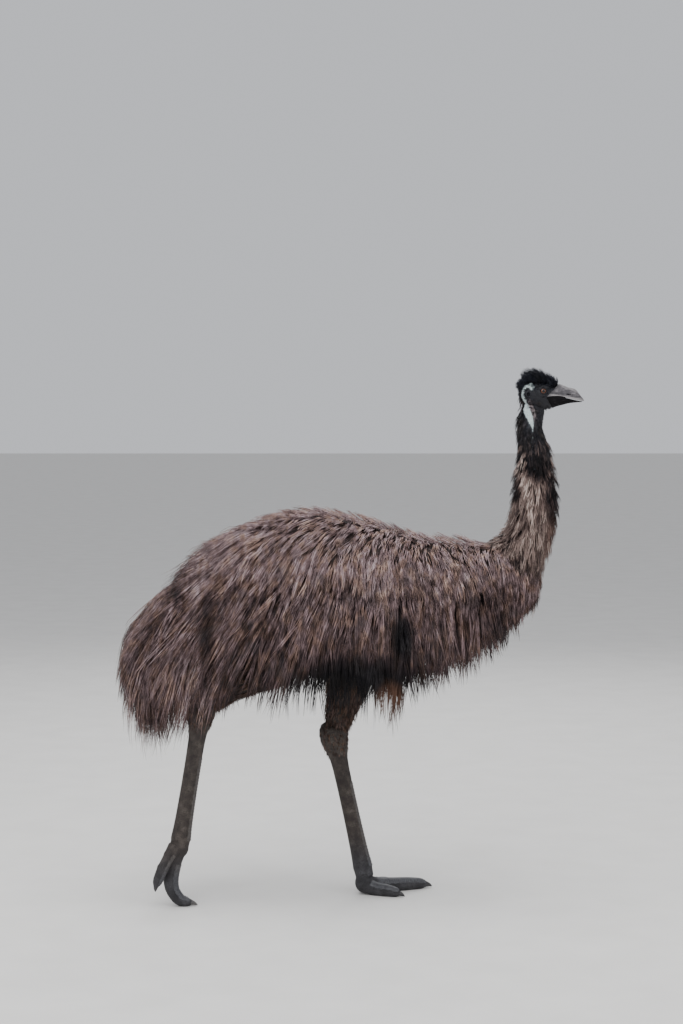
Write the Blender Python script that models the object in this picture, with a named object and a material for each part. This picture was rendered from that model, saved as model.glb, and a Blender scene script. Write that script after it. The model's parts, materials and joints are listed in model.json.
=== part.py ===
# A life-size emu in mid stride: left foot planted in front, right foot pushing off behind.
# Metres, +Z up, +X towards the bill, +Y the bird's left side, floor at Z = 0.
# Each limb and length of the body is its own closed solid, 0.35 mm clear of its neighbours.

import math
import random

import bmesh
import bpy
import numpy as np
from mathutils import Matrix, Vector
from mathutils.bvhtree import BVHTree

CLEARANCE = 0.00035          # gap left between one node and the next
SEED = 2

# Plumage: the coat hangs from a plain core, which fills less than half of its depth.
PLUME_SINK = 0.014           # how deep a plume's root goes into the core
PLUME_THICK = 0.009
GRAVITY = Vector((0, 0, -1))
UP = Vector((0, 0, 1))
LEFT = Vector((0, 1, 0))

# Body core, rear to front: x, height of the widest level, up, down, half width.
BODY_CORE = [
    (-0.492, 0.868, 0.020, 0.022, 0.022),
    (-0.475, 0.868, 0.066, 0.060, 0.058),
    (-0.420, 0.874, 0.122, 0.118, 0.096),
    (-0.330, 0.888, 0.180, 0.168, 0.128),
    (-0.210, 0.900, 0.216, 0.205, 0.147),
    (-0.080, 0.900, 0.226, 0.222, 0.152),
    (0.060, 0.890, 0.208, 0.216, 0.147),
    (0.200, 0.872, 0.178, 0.190, 0.138),
    (0.330, 0.872, 0.154, 0.144, 0.122),
    (0.430, 0.892, 0.138, 0.100, 0.102),
    (0.500, 0.914, 0.104, 0.080, 0.080),
    (0.538, 0.922, 0.066, 0.056, 0.054),
    (0.554, 0.924, 0.026, 0.024, 0.022),
]

# Neck core, base to head: x, z, half depth, half width.
NECK_CORE = [
    (0.405, 0.925, 0.050, 0.046),
    (0.452, 0.970, 0.086, 0.072),
    (0.496, 1.022, 0.068, 0.062),
    (0.523, 1.075, 0.055, 0.053),
    (0.534, 1.131, 0.054, 0.048),
    (0.535, 1.198, 0.052, 0.045),
    (0.535, 1.264, 0.045, 0.040),
]
THROAT_CORE = [
    (0.535, 1.2644, 0.0450, 0.0395),
    (0.534, 1.293, 0.0410, 0.0360),
    (0.529, 1.330, 0.0370, 0.0325),
    (0.522, 1.366, 0.0335, 0.0300),
    (0.525, 1.400, 0.0330, 0.0280),
    (0.532, 1.436, 0.0320, 0.0255),
    (0.535, 1.462, 0.0230, 0.0200),
]
TAIL_CORE = [
    (-0.425, 0.890, 0.034, 0.044),
    (-0.458, 0.878, 0.064, 0.078),
    (-0.500, 0.846, 0.070, 0.104),
    (-0.540, 0.792, 0.056, 0.092),
    (-0.568, 0.732, 0.036, 0.062),
    (-0.580, 0.694, 0.016, 0.024),
]
# The hem of the coat: no plume hangs below this line of x and z.
HEM = [
    (-0.68, 0.640), (-0.66, 0.580), (-0.64, 0.540), (-0.60, 0.490), (-0.55, 0.470), (-0.49, 0.492),
    (-0.43, 0.528), (-0.385, 0.580), (-0.30, 0.598), (-0.20, 0.604), (-0.10, 0.602), (0.00, 0.596),
    (0.07, 0.592), (0.15, 0.628), (0.22, 0.644), (0.28, 0.664), (0.34, 0.688), (0.40, 0.730),
    (0.45, 0.772), (0.50, 0.816), (0.54, 0.856), (0.56, 0.900),
]

# Long plumes over each thigh: x and height of the root, length.
THIGH_PLUMES = [(-0.438, 0.855, 0.40), (-0.385, 0.800, 0.36), (-0.320, 0.770, 0.32), (-0.245, 0.740, 0.28)]

# Skull and bill as one form, back to front: x, middle height, half height, half width.
HEAD_FORM = [
    (0.4890, 1.4790, 0.0100, 0.0090),
    (0.4960, 1.4780, 0.0250, 0.0200),
    (0.5120, 1.4745, 0.0390, 0.0310),
    (0.5340, 1.4725, 0.0460, 0.0365),
    (0.5560, 1.4710, 0.0445, 0.0350),
    (0.5780, 1.4680, 0.0385, 0.0300),
    (0.5960, 1.4660, 0.0325, 0.0255),
    (0.6100, 1.4650, 0.0295, 0.0225),
    (0.6280, 1.4645, 0.0235, 0.0180),
    (0.6460, 1.4630, 0.0185, 0.0150),
    (0.6600, 1.4600, 0.0130, 0.0120),
    (0.6700, 1.4550, 0.0075, 0.0080),
    (0.6755, 1.4515, 0.0030, 0.0035),
]
GAPE = Vector((0.5640, 0, 1.4610))
BILL_TIP = Vector((0.6900, 0, 1.4480))
BILL_TOP_EDGE = Vector((0.6180, 0, 1.5150))       # feathers give way to bare bill along this line
BILL_LOWER_EDGE = Vector((0.5960, 0, 1.4200))

EYE_CENTRE = Vector((0.5550, 0.0245, 1.4795))
EYE_RADIUS = 0.0125
LID_THICK = 0.0022
LID_OPENING = (0.0095, 0.0080)                    # half length and half height of the open eye
EAR_CENTRE = Vector((0.5120, 0.0350, 1.4700))
EAR_RADIUS = 0.0062
NOSTRIL_CENTRE = Vector((0.6300, 0.0160, 1.4690))
NOSTRIL_SIZE = (0.0090, 0.0060, 0.0024)

# Legs: knee, hock and toe joint. The left foot is planted, the right heel is lifted.
LEG_JOINTS = {
    "L": {"knee": (0.035, 0.100, 0.780), "hock": (-0.048, 0.066, 0.460), "toes": (0.043, 0.022, 0.050)},
    "R": {"knee": (-0.120, -0.105, 0.770), "hock": (-0.427, -0.116, 0.566), "toes": (-0.493, -0.121, 0.166)},
}
# Share of the way from knee to hock, half depth, half width.
DRUMSTICK = [
    (0.0, 0.060, 0.044), (0.25, 0.076, 0.054), (0.55, 0.064, 0.046), (0.80, 0.046, 0.036), (0.945, 0.037, 0.029),
]
# Share of the way from hock to toe joint, half depth, half width. The first rows round off the hock.
SHANK = [
    (-0.100, 0.0110, 0.0090),
    (-0.085, 0.0260, 0.0200),
    (-0.045, 0.0380, 0.0280),
    (0.000, 0.0415, 0.0305),
    (0.050, 0.0380, 0.0285),
    (0.110, 0.0320, 0.0255),
    (0.200, 0.0250, 0.0205),
    (0.500, 0.0235, 0.0190),
    (0.800, 0.0255, 0.0205),
    (0.930, 0.0290, 0.0250),
]
TOE_ROUND = 0.92             # a toe's height over its width

# Toes as points x, y, z and half width, from the joint to where the claw begins.
PLANTED_TOES = {
    "inner": [(0.036, 0.019, 0.032, 0.0235), (0.074, 0.008, 0.0175, 0.0205), (0.106, -0.004, 0.0155, 0.0190),
              (0.132, -0.014, 0.0125, 0.0155), (0.141, -0.017, 0.0110, 0.0095)],
    "middle": [(0.036, 0.022, 0.036, 0.0260), (0.082, 0.040, 0.0215, 0.0240), (0.126, 0.058, 0.0185, 0.0220),
               (0.172, 0.076, 0.0168, 0.0200), (0.208, 0.090, 0.0140, 0.0170), (0.222, 0.095, 0.0125, 0.0110)],
    "outer": [(0.034, 0.028, 0.032, 0.0235), (0.064, 0.060, 0.0180, 0.0200), (0.088, 0.092, 0.0155, 0.0185),
              (0.108, 0.119, 0.0125, 0.0150), (0.115, 0.128, 0.0115, 0.0095)],
}
LIFTED_TOES = {
    "inner": [(-0.492, -0.109, 0.172, 0.0220), (-0.511, -0.099, 0.138, 0.0170), (-0.523, -0.092, 0.104, 0.0165),
              (-0.525, -0.088, 0.078, 0.0140), (-0.524, -0.087, 0.070, 0.0095)],
    "middle": [(-0.494, -0.122, 0.170, 0.0260), (-0.509, -0.123, 0.124, 0.0240), (-0.517, -0.124, 0.082, 0.0235),
               (-0.512, -0.125, 0.046, 0.0205), (-0.493, -0.126, 0.0195, 0.0185), (-0.473, -0.127, 0.0115, 0.0160),
               (-0.463, -0.127, 0.0105, 0.0110)],
    "outer": [(-0.503, -0.134, 0.176, 0.0220), (-0.524, -0.146, 0.142, 0.0170), (-0.542, -0.154, 0.106, 0.0165),
              (-0.553, -0.158, 0.078, 0.0140), (-0.556, -0.159, 0.068, 0.0095)],
}
CLAW_LENGTH = {"inner": 0.019, "middle": 0.023, "outer": 0.019}
CLAW_DROP = 0.30             # how far a claw's tip falls, over its length
SCUTE_RISE = 0.0011


# Scene and materials

def clear_scene():
    for old in list(bpy.data.objects):
        bpy.data.objects.remove(old)


def material(name, colour, roughness):
    made = bpy.data.materials.new(name)
    made.use_nodes = True
    shader = made.node_tree.nodes["Principled BSDF"]
    shader.inputs["Base Color"].default_value = (*colour, 1)
    shader.inputs["Roughness"].default_value = roughness
    return made


# Curves and forms

def smooth_rows(rows, count):
    """Rows of numbers read from a smooth curve through the given rows."""
    points = np.array(rows, float)
    last = len(points) - 1
    along = np.linspace(0, last, count)
    index = np.clip(along.astype(int), 0, last - 1)
    part = (along - index)[:, None]
    before, here = points[np.clip(index - 1, 0, last)], points[index]
    there, after = points[index + 1], points[np.clip(index + 2, 0, last)]
    return 0.5 * (2 * here + (there - before) * part
                  + (2 * before - 5 * here + 4 * there - after) * part ** 2
                  + (3 * here - before - 3 * there + after) * part ** 3)


def new_object(name, mesh):
    made = bpy.data.objects.new(name, mesh)
    bpy.context.scene.collection.objects.link(made)
    return made


def skin_rings(name, rings, tip=None):
    """A closed form through rings of points, with flat ends or a pointed one."""
    shape = bmesh.new()
    loops = [[shape.verts.new(point) for point in ring] for ring in rings]
    sides = len(rings[0])
    for low, high in zip(loops, loops[1:]):
        for i in range(sides):
            j = (i + 1) % sides
            shape.faces.new((low[i], low[j], high[j]))
            shape.faces.new((low[i], high[j], high[i]))
    shape.faces.new(loops[0][::-1])
    if tip is None:
        shape.faces.new(loops[-1])
    else:
        point = shape.verts.new(tip)
        for i in range(sides):
            shape.faces.new((loops[-1][i], loops[-1][(i + 1) % sides], point))
    bmesh.ops.recalc_face_normals(shape, faces=shape.faces)
    mesh = bpy.data.meshes.new(name)
    shape.to_mesh(mesh)
    shape.free()
    return new_object(name, mesh)


def tube(name, rows, sides, across=LEFT, grow=0.0, round_ends=False):
    """A form along points x, y, z with half depth and half width, its width lying along across."""
    centres = [Vector(row[:3]) for row in rows]
    rings = []
    for k, row in enumerate(rows):
        ahead = centres[min(k + 1, len(rows) - 1)] - centres[max(k - 1, 0)]
        ahead.normalize()
        wide = (across - ahead * across.dot(ahead)).normalized()
        deep = ahead.cross(wide)
        end = (k == len(rows) - 1) - (k == 0)
        centre = centres[k] + ahead * grow * end
        ring = []
        for i in range(sides):
            turn = math.tau * (i + 0.5) / sides
            ring.append(centre + deep * (row[3] + grow) * math.sin(turn) + wide * (row[4] + grow) * math.cos(turn))
        rings.append(ring)
    return skin_rings(name, rings)


def body_form(name, count, sides):
    """The body core, in upright rings with a different height above and below its widest level."""
    rings = []
    for x, middle, up, down, half in smooth_rows(BODY_CORE, count):
        ring = []
        for i in range(sides):
            turn = math.tau * i / sides
            rise = up if math.sin(turn) > 0 else down
            ring.append(Vector((x, half * math.cos(turn), middle + rise * math.sin(turn))))
        rings.append(ring)
    return skin_rings(name, rings)


def ball(name, centre, radii, segments=16, rings=10):
    shape = bmesh.new()
    bmesh.ops.create_uvsphere(shape, u_segments=segments, v_segments=rings, radius=1.0)
    bmesh.ops.scale(shape, vec=radii, verts=shape.verts)
    bmesh.ops.translate(shape, vec=centre, verts=shape.verts)
    mesh = bpy.data.meshes.new(name)
    shape.to_mesh(mesh)
    shape.free()
    return new_object(name, mesh)


def prism(name, outline, half_width):
    """A flat-sided block with this outline in X and Z, from -half_width to half_width in Y."""
    rings = [[Vector((p[0], y, p[-1])) for p in outline] for y in (-half_width, half_width)]
    return skin_rings(name, rings)


# Joining and cutting

def combine(target, pieces, operation):
    """Joins the pieces to the target, or cuts them from it, and removes them."""
    if not pieces:
        return target
    group = bpy.data.collections.new("pieces")
    bpy.context.scene.collection.children.link(group)
    for piece in pieces:
        bpy.context.scene.collection.objects.unlink(piece)
        group.objects.link(piece)
    step = target.modifiers.new("combine", "BOOLEAN")
    step.operation = operation
    step.operand_type = "COLLECTION"
    step.collection = group
    step.solver = "MANIFOLD"
    bpy.context.view_layer.objects.active = target
    bpy.ops.object.modifier_apply(modifier=step.name)
    for piece in pieces:
        bpy.data.objects.remove(piece)
    bpy.data.collections.remove(group)
    return target


def shells_of(shape):
    """The connected surfaces of a mesh, as lists of faces with the volume of each."""
    left = set(shape.faces)
    shells = []
    while left:
        stack = [left.pop()]
        found = list(stack)
        while stack:
            for edge in stack.pop().edges:
                if len(edge.link_faces) != 2:
                    continue
                for face in edge.link_faces:
                    if face in left:
                        left.remove(face)
                        found.append(face)
                        stack.append(face)
        volume = 0.0
        for face in found:
            corners = [v.co for v in face.verts]
            for b, c in zip(corners[1:], corners[2:]):
                volume += corners[0].dot(b.cross(c)) / 6
        shells.append((volume, found))
    return sorted(shells, key=lambda shell: shell[0], reverse=True)


def keep_largest(target):
    """Drops loose scraps and the walls of sealed hollows."""
    shape = bmesh.new()
    shape.from_mesh(target.data)
    scraps = [face for _, faces in shells_of(shape)[1:] for face in faces]
    if scraps:
        bmesh.ops.delete(shape, geom=scraps, context="FACES")
    shape.to_mesh(target.data)
    shape.free()
    return target


def surface_of(form):
    """A search tree over a form, for laying plumes on its surface."""
    points = [v.co.copy() for v in form.data.vertices]
    return BVHTree.FromPolygons(points, [list(face.vertices) for face in form.data.polygons])


def plumed(make_core, make_plumes, grow=0.0):
    """A core and its plumes, which lie on the plain core whatever the clearance that all are grown by."""
    plain = make_core(0.0)
    plumes = make_plumes(surface_of(plain), grow)
    if not grow:
        return [plain] + plumes
    bpy.data.objects.remove(plain)
    return [make_core(grow)] + plumes


# Plumes

def hem_at(x):
    return float(np.interp(x, [place[0] for place in HEM], [place[1] for place in HEM]))


def plume_path(surface, root, lie, length, rise, steps=12, hem=None):
    """A plume's middle line: it follows the surface at a growing height while its lie presses on it,
    and hangs free where the surface turns away below it, down to the hem.
    Returns points and outward directions."""
    spot, normal = surface.find_nearest(root)[:2]
    point, out = spot.copy(), normal.copy()
    points, outs = [], []
    held = True
    for step in range(steps + 1):
        share = step / steps
        height = -PLUME_SINK + (PLUME_SINK + rise) * min(1.0, share * 1.25) ** 0.8
        if held:
            points.append(point + out * height)
        else:
            points.append(point)
        outs.append(out.copy())
        if hem is not None and step > 2 and points[-1].z < hem_at(points[-1].x) + hem:
            break
        pull = lie(point)
        pressing = pull.dot(out)
        if held and pressing < 0.12:
            flat = (pull - out * pressing).normalized()
            ahead = point + flat * length / steps
            spot, normal = surface.find_nearest(ahead)[:2]
            point = spot
            out = (out + normal).normalized()
        else:
            if held:
                point = points[-1].copy()
                heading = (points[-1] - points[-2]).normalized() if step else pull.normalized()
                held = False
            heading = (heading + pull.normalized() * 0.55).normalized()
            point = point + heading * length / steps
    return points, outs


def widened(corners, grow):
    """The corners of a flat shape whose sides all stand further out by this much."""
    if not grow:
        return corners
    moved = []
    for k, corner in enumerate(corners):
        before, here, after = Vector(corners[k - 1]), Vector(corner), Vector(corners[(k + 1) % len(corners)])
        first, second = (here - before).normalized(), (after - here).normalized()
        normals = [Vector((first.y, -first.x)), Vector((second.y, -second.x))]
        moved.append(here + (normals[0] + normals[1]) * grow / (1 + normals[0].dot(normals[1])))
    return [tuple(corner) for corner in moved]


def plume(name, path, width, thick=PLUME_THICK, grow=0.0):
    """A flat, tapered lock along a path: widest near its middle, with a low ridge and a pointed end."""
    points, outs = path
    last = len(points) - 1
    shares = (0.0, 0.38, 0.76)
    widths = (0.66, 1.0, 0.70)
    rings = []
    for share, broad in zip(shares, widths):
        k = round(share * last)
        ahead = (points[min(k + 1, last)] - points[max(k - 1, 0)]).normalized()
        out = (outs[k] - ahead * outs[k].dot(ahead)).normalized()
        side = ahead.cross(out)
        half, ridge, droop = width / 2 * broad, thick * (0.5 + 0.1 * broad), thick * 0.35
        section = widened([(half, -droop), (0, ridge), (-half, -droop), (0, -ridge)], grow)
        centre = points[k] - ahead * (grow if k == 0 else 0)
        rings.append([centre + side * across + out * up for across, up in section])
    tip = points[last] + (points[last] - points[last - 1]).normalized() * grow * 12
    return skin_rings(name, rings, tip)


def body_lie(point):
    """Plumes hang from the parting on the spine, swept back over the rump and forward at the shoulder."""
    sweep = np.interp(point.x, (-0.50, -0.36, -0.20, -0.02, 0.12, 0.26, 0.42, 0.52),
                      (0.95, 0.75, 0.42, 0.20, 0.02, -0.16, -0.10, 0.35))
    spread = np.interp(point.x, (-0.48, -0.36, -0.20), (-0.25, 0.05, 0.40))
    high = max(0.0, min(1.0, (point.z - 0.98) / 0.10))
    return Vector((-sweep - 0.9 * high, spread * max(-1.0, min(1.0, point.y / 0.04)), -1.0 + 0.4 * high))


def neck_lie(point):
    """Neck plumes fall along the neck."""
    lean = np.interp(point.z, (0.95, 1.06, 1.14, 1.30), (-0.35, -0.18, -0.05, 0.02))
    return Vector((lean, 0, -1.0))


def tail_lie(point):
    """Rump plumes sweep back, then hang."""
    sweep = np.interp(point.z, (0.55, 0.75, 0.90), (-0.10, 0.30, 1.0))
    return Vector((-sweep, 0.10 * point.y / 0.1, -1.0))


def fan_root(surface, along, turn, rear, front, middle):
    """Where a ray from outside meets the surface. The rays stand square to the body's axis between its
    rear and front centres, and fan round them beyond. Along is metres from the middle, turn is from straight up."""
    round_the_sky = Vector((0, math.sin(turn), math.cos(turn)))
    if rear < along < front:
        centre, way = Vector((along, 0, middle)), round_the_sky
    else:
        end = front if along >= front else rear
        bend = (along - end) / 0.17
        centre = Vector((end, 0, middle))
        way = round_the_sky * math.cos(bend) + Vector((math.sin(bend), 0, 0))
    way.normalize()
    return surface.ray_cast(centre + way, -way)[0]


def body_plumes(surface, grow=0.0):
    """Tiers of broad plumes from the parting down to the skirt."""
    chance = random.Random(SEED)
    tiers = [  # turn from straight up, spacing along, length, rise, width, first and last place
        (0, 0.116, 0.23, 0.022, 0.112, -0.40, 0.40),
        (24, 0.110, 0.24, 0.026, 0.116, -0.46, 0.50),
        (58, 0.106, 0.25, 0.032, 0.114, -0.46, 0.58),
        (90, 0.106, 0.25, 0.036, 0.112, -0.46, 0.58),
        (118, 0.108, 0.25, 0.038, 0.108, -0.42, 0.46),
    ]
    pieces = []
    for side in (-1, 1):
        for tier, (turn, pitch, length, rise, width, first, last) in enumerate(tiers):
            if tier == 0 and side > 0:
                continue
            count = int((last - first) / pitch)
            for k in range(count + 1):
                along = first + (k + 0.5 * (tier % 2)) * pitch + chance.uniform(-0.010, 0.010)
                angle = side * math.radians(turn + chance.uniform(-3, 3))
                reach = length * chance.uniform(0.92, 1.10) * (1.35 if along < -0.28 else 1.0)
                lift = rise * chance.uniform(0.85, 1.15)
                spread = width * chance.uniform(0.94, 1.08)
                drop = chance.uniform(-0.012, 0.016)
                root = fan_root(surface, along, angle, -0.30, 0.36, 0.890)
                if root is None or on_neck(root):
                    continue
                path = plume_path(surface, root, body_lie, reach, lift, hem=drop)
                if len(path[0]) > 4:
                    pieces.append(plume("plume", path, spread, grow=grow))
    for x, y, length in ((0.050, 0.03, 0.13), (0.085, -0.05, 0.15), (0.125, 0.02, 0.13)):
        root = surface.ray_cast(Vector((x, y, 0.3)), UP)[0]
        path = plume_path(surface, root, lambda point: Vector((0.15, 0, -1.0)), length, 0.0, steps=8)
        pieces.append(plume("belly_plume", path, 0.075, grow=grow))
    return pieces + thigh_plumes(surface, grow)


def thigh_plumes(surface, grow=0.0):
    """Long plumes on the rear of each flank, which hang over the thighs down to the hocks."""
    chance = random.Random(SEED + 5)
    pieces = []
    for side in (-1, 1):
        for x, height, length in THIGH_PLUMES:
            place = Vector((x + chance.uniform(-0.008, 0.008), side * 0.5, height + chance.uniform(-0.01, 0.01)))
            root = surface.ray_cast(place, LEFT * -side)[0]
            reach = length * chance.uniform(0.96, 1.06)
            drop = chance.uniform(-0.010, 0.014)
            if root is None:
                continue

            def lie(point):
                return Vector((-0.12, side * (0.55 if abs(point.y) < 0.165 else 0.0), -1.0))

            path = plume_path(surface, root, lie, reach, 0.036, hem=drop)
            pieces.append(plume("thigh_plume", path, 0.094, grow=grow))
    return pieces


def on_neck(point):
    """True where the neck grows from the body, which its own plumes cover."""
    return point.x > 0.36 and point.z > 0.985 - 0.35 * (point.x - 0.43)


def tail_plumes(surface, grow=0.0):
    """Long plumes that fall from the rump in layers."""
    chance = random.Random(SEED + 1)
    rows = [  # height of the roots, spread to each side, how many, length, rise, width
        (0.915, 0.056, 3, 0.44, 0.034, 0.100),
        (0.850, 0.104, 5, 0.42, 0.028, 0.098),
        (0.770, 0.086, 4, 0.36, 0.018, 0.098),
    ]
    pieces = []
    for height, spread, count, length, rise, width in rows:
        for k in range(count):
            y = spread * (2 * k / (count - 1) - 1)
            way = Vector((-1.0, 1.6 * y / spread * 0.8, 0.35)).normalized()
            start = Vector((-0.50, y * 0.4, height))
            root = surface.ray_cast(start + way * 0.5, -way)[0]
            reach = length * chance.uniform(0.93, 1.08)
            lift = rise * chance.uniform(0.9, 1.2)
            drop = chance.uniform(-0.010, 0.020)
            if root is None:
                continue
            path = plume_path(surface, root, tail_lie, reach, lift, hem=drop)
            pieces.append(plume("tail_plume", path, width, grow=grow))
    return pieces


def neck_plumes(surface, grow=0.0):
    """Rings of plumes down the lower neck, longest at its base."""
    chance = random.Random(SEED + 2)
    tiers = [  # height of the roots, how many round, length behind, length in front, rise, width
        (1.030, 7, 0.045, 0.130, 0.020, 0.082),
        (1.100, 6, 0.085, 0.125, 0.019, 0.076),
        (1.165, 6, 0.100, 0.120, 0.019, 0.068),
        (1.225, 6, 0.100, 0.105, 0.017, 0.060),
        (1.262, 5, 0.075, 0.080, 0.012, 0.054),
    ]
    pieces = []
    for tier, (height, count, behind, front, rise, width) in enumerate(tiers):
        centre_x = float(np.interp(height, [row[1] for row in NECK_CORE], [row[0] for row in NECK_CORE]))
        for k in range(count):
            turn = math.tau * (k + 0.5 * (tier % 2)) / count + chance.uniform(-0.08, 0.08)
            share = chance.uniform(0.9, 1.1)
            way = Vector((math.cos(turn), math.sin(turn), 0))
            length = behind + (front - behind) * (1 + way.x) / 2
            root = surface.ray_cast(Vector((centre_x, 0, height - 0.02 * way.x)) + way * 0.4, -way)[0]
            if root is None:
                continue
            path = plume_path(surface, root, neck_lie, length * share, rise)
            pieces.append(plume("neck_plume", path, width, thick=0.007, grow=grow))
    return pieces


def throat_plumes(surface, grow=0.0):
    """Short, sparse plumes on the nape and the front of the upper neck; its sides are bare."""
    chance = random.Random(SEED + 3)
    pieces = []
    for height, length in ((1.305, 0.055), (1.345, 0.052), (1.385, 0.048), (1.425, 0.042)):
        for turn in (142, 180, 218, -30, 30):
            if height > 1.36 and abs(turn) < 90:
                continue
            angle = math.radians(turn + chance.uniform(-6, 6))
            way = Vector((math.cos(angle), math.sin(angle), 0))
            root = surface.ray_cast(Vector((0.526, 0, height)) + way * 0.3, -way)[0]
            if root is None:
                continue
            rise = 0.009 if abs(turn) > 90 else 0.005
            path = plume_path(surface, root, neck_lie, length * chance.uniform(0.9, 1.15), rise, steps=8)
            pieces.append(plume("throat_plume", path, 0.026, thick=0.004, grow=grow))
    return pieces


def crown_plumes(surface, grow=0.0):
    """The shaggy cap: short, curved tufts from the forehead to the nape."""
    chance = random.Random(SEED + 4)
    pieces = []
    rows = [  # place along the head, turns from straight up, length
        (0.582, (-24, 24), 0.024),
        (0.562, (-44, 0, 44), 0.029),
        (0.540, (-54, -18, 18, 54), 0.032),
        (0.516, (-52, -17, 17, 52), 0.032),
        (0.500, (-30, 30), 0.030),
    ]
    for x, turns, length in rows:
        for turn in turns:
            angle = math.radians(turn + chance.uniform(-5, 5))
            way = Vector((-0.15, math.sin(angle), math.cos(angle))).normalized()
            reach = length * chance.uniform(0.9, 1.12)
            root = surface.ray_cast(Vector((x, 0, 1.482)) + way * 0.2, -way)[0]
            if root is None:
                continue
            path = crown_path(root, surface.find_nearest(root)[1], reach)
            pieces.append(plume("crown_plume", path, 0.020, thick=0.0035, grow=grow))
    return pieces


def crown_path(root, out, length, steps=8):
    """A tuft that stands out of the head and curls back."""
    heading = (out + Vector((-0.15, 0, 0.55))).normalized()
    point = root - out * 0.006
    points, outs = [], []
    for _ in range(steps + 1):
        points.append(point.copy())
        side = heading.cross(LEFT if abs(heading.y) < 0.6 else UP).normalized()
        outs.append(side)
        point = point + heading * (length + 0.006) / steps
        heading = (heading + Vector((-0.14, 0, -0.02))).normalized()
    return points, outs


# Head

def thin_slab(name, start, end, reach):
    """A cut one clearance wide in X and Z, from start through end, right across the head."""
    along = (end - start).normalized()
    side = Vector((-along.z, 0, along.x)) * CLEARANCE / 2
    far = start + along * reach
    near = start - along * CLEARANCE
    return prism(name, [near - side, far - side, far + side, near + side], 0.08)


def make_head(form):
    """Shapes lids, brows, ears and nostrils on the skull."""
    for side in (-1, 1):
        centre = EYE_CENTRE * 1
        centre.y *= side
        lid = ball("lid", centre, [EYE_RADIUS + LID_THICK] * 3, 14, 8)
        over_eye = (EYE_CENTRE.x + 0.002, side * 0.0265, EYE_CENTRE.z + 0.0125)
        brow = ball("brow", over_eye, (0.021, 0.0075, 0.0062), 10, 5)
        at_ear = (EAR_CENTRE.x, side * (EAR_CENTRE.y - 0.0055), EAR_CENTRE.z)
        rim = ball("rim", at_ear, (0.0092, 0.0062, 0.0100), 10, 5)
        combine(form, [lid, brow, rim], "UNION")
        opening = ball("opening", (centre.x, side * (EYE_CENTRE.y + 0.014), centre.z),
                       (LID_OPENING[0], 0.014, LID_OPENING[1]), 12, 6)
        socket = ball("socket", centre, [EYE_RADIUS + 2 * CLEARANCE] * 3, 14, 8)
        at_ear = (EAR_CENTRE.x, side * EAR_CENTRE.y, EAR_CENTRE.z)
        ear = ball("ear", at_ear, (EAR_RADIUS, 0.0058, EAR_RADIUS * 1.15), 10, 6)
        at_nostril = (NOSTRIL_CENTRE.x, side * (NOSTRIL_CENTRE.y + 0.0025), NOSTRIL_CENTRE.z)
        nostril = ball("nostril", at_nostril, NOSTRIL_SIZE, 8, 5)
        combine(form, [opening, socket, ear, nostril], "DIFFERENCE")
    return form


def skull(grow=0.0):
    """The head and bill in one plain form."""
    return tube("skull", [(x, 0, z, half, wide) for x, z, half, wide in smooth_rows(HEAD_FORM, 18)], 16, grow=grow)


def build_head(finishes):
    form, *crown = plumed(skull, crown_plumes)
    make_head(form)
    combine(form, crown, "UNION")
    keep_largest(form)
    cuts = [thin_slab("mouth", GAPE, BILL_TIP, 0.14), thin_slab("edge", GAPE, BILL_TOP_EDGE, 0.10),
            thin_slab("edge", GAPE, BILL_LOWER_EDGE, 0.10)]
    combine(form, cuts, "DIFFERENCE")
    part_head(form, finishes)
    for side, letter in ((-1, "R"), (1, "L")):
        centre = Vector((EYE_CENTRE.x, side * EYE_CENTRE.y, EYE_CENTRE.z))
        eye = ball("eye_" + letter, centre, [EYE_RADIUS] * 3, 14, 8)
        finish(eye, finishes["eye"])


def part_head(form, finishes):
    """Gives the three bodies that the cuts leave their own names."""
    shape = bmesh.new()
    shape.from_mesh(form.data)
    shells = shells_of(shape)[:3]
    named = {}
    for _, faces in shells:
        middle = sum((face.calc_center_median() for face in faces), Vector()) / len(faces)
        if middle.x < 0.585:
            named["head"] = faces
        else:
            line = GAPE.z + (BILL_TIP.z - GAPE.z) * (middle.x - GAPE.x) / (BILL_TIP.x - GAPE.x)
            named["bill_upper" if middle.z > line else "bill_lower"] = faces
    for name, faces in named.items():
        keep = {face.index for face in faces}
        copy = shape.copy()
        copy.faces.ensure_lookup_table()
        extra = [face for face in copy.faces if face.index not in keep]
        bmesh.ops.delete(copy, geom=extra, context="FACES")
        mesh = bpy.data.meshes.new(name)
        copy.to_mesh(mesh)
        copy.free()
        finish(new_object(name + "_made", mesh), finishes["bill" if "bill" in name else "head"], name)
    shape.free()
    bpy.data.objects.remove(form)
    for name in named:
        bpy.data.objects[name + "_made"].name = name


def finish(made, look, name=None):
    """Gives a node its material and smooth shading."""
    made.data.materials.clear()
    made.data.materials.append(look)
    made.data.shade_smooth()
    made.data.set_sharp_from_angle(angle=math.radians(40))
    return made


# Neck, body and tail

def round_tube(name, rows, count, sides, grow=0.0):
    """A tube from rows of x, z, half depth and half width in the bird's middle plane."""
    return tube(name, [(x, 0, z, deep, wide) for x, z, deep, wide in smooth_rows(rows, count)], sides, grow=grow)


def neck_core(grow):
    return round_tube("neck_lower", NECK_CORE, 11, 12, grow)


def throat_core(grow):
    return round_tube("neck_upper", THROAT_CORE, 9, 12, grow)


def tail_core(grow):
    return round_tube("tail", TAIL_CORE, 9, 12, grow)


def body_core(grow):
    return body_form("torso", 16, 16)


def build_plumed(pieces, cutters, look):
    """Joins a core with its plumes, cuts its neighbours' grown shapes from it and keeps one body."""
    core = pieces[0]
    combine(core, pieces[1:], "UNION")
    keep_largest(core)
    combine(core, cutters, "DIFFERENCE")
    keep_largest(core)
    return finish(core, look)


# Legs

def between(start, end, share):
    return Vector(start).lerp(Vector(end), share)


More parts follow.
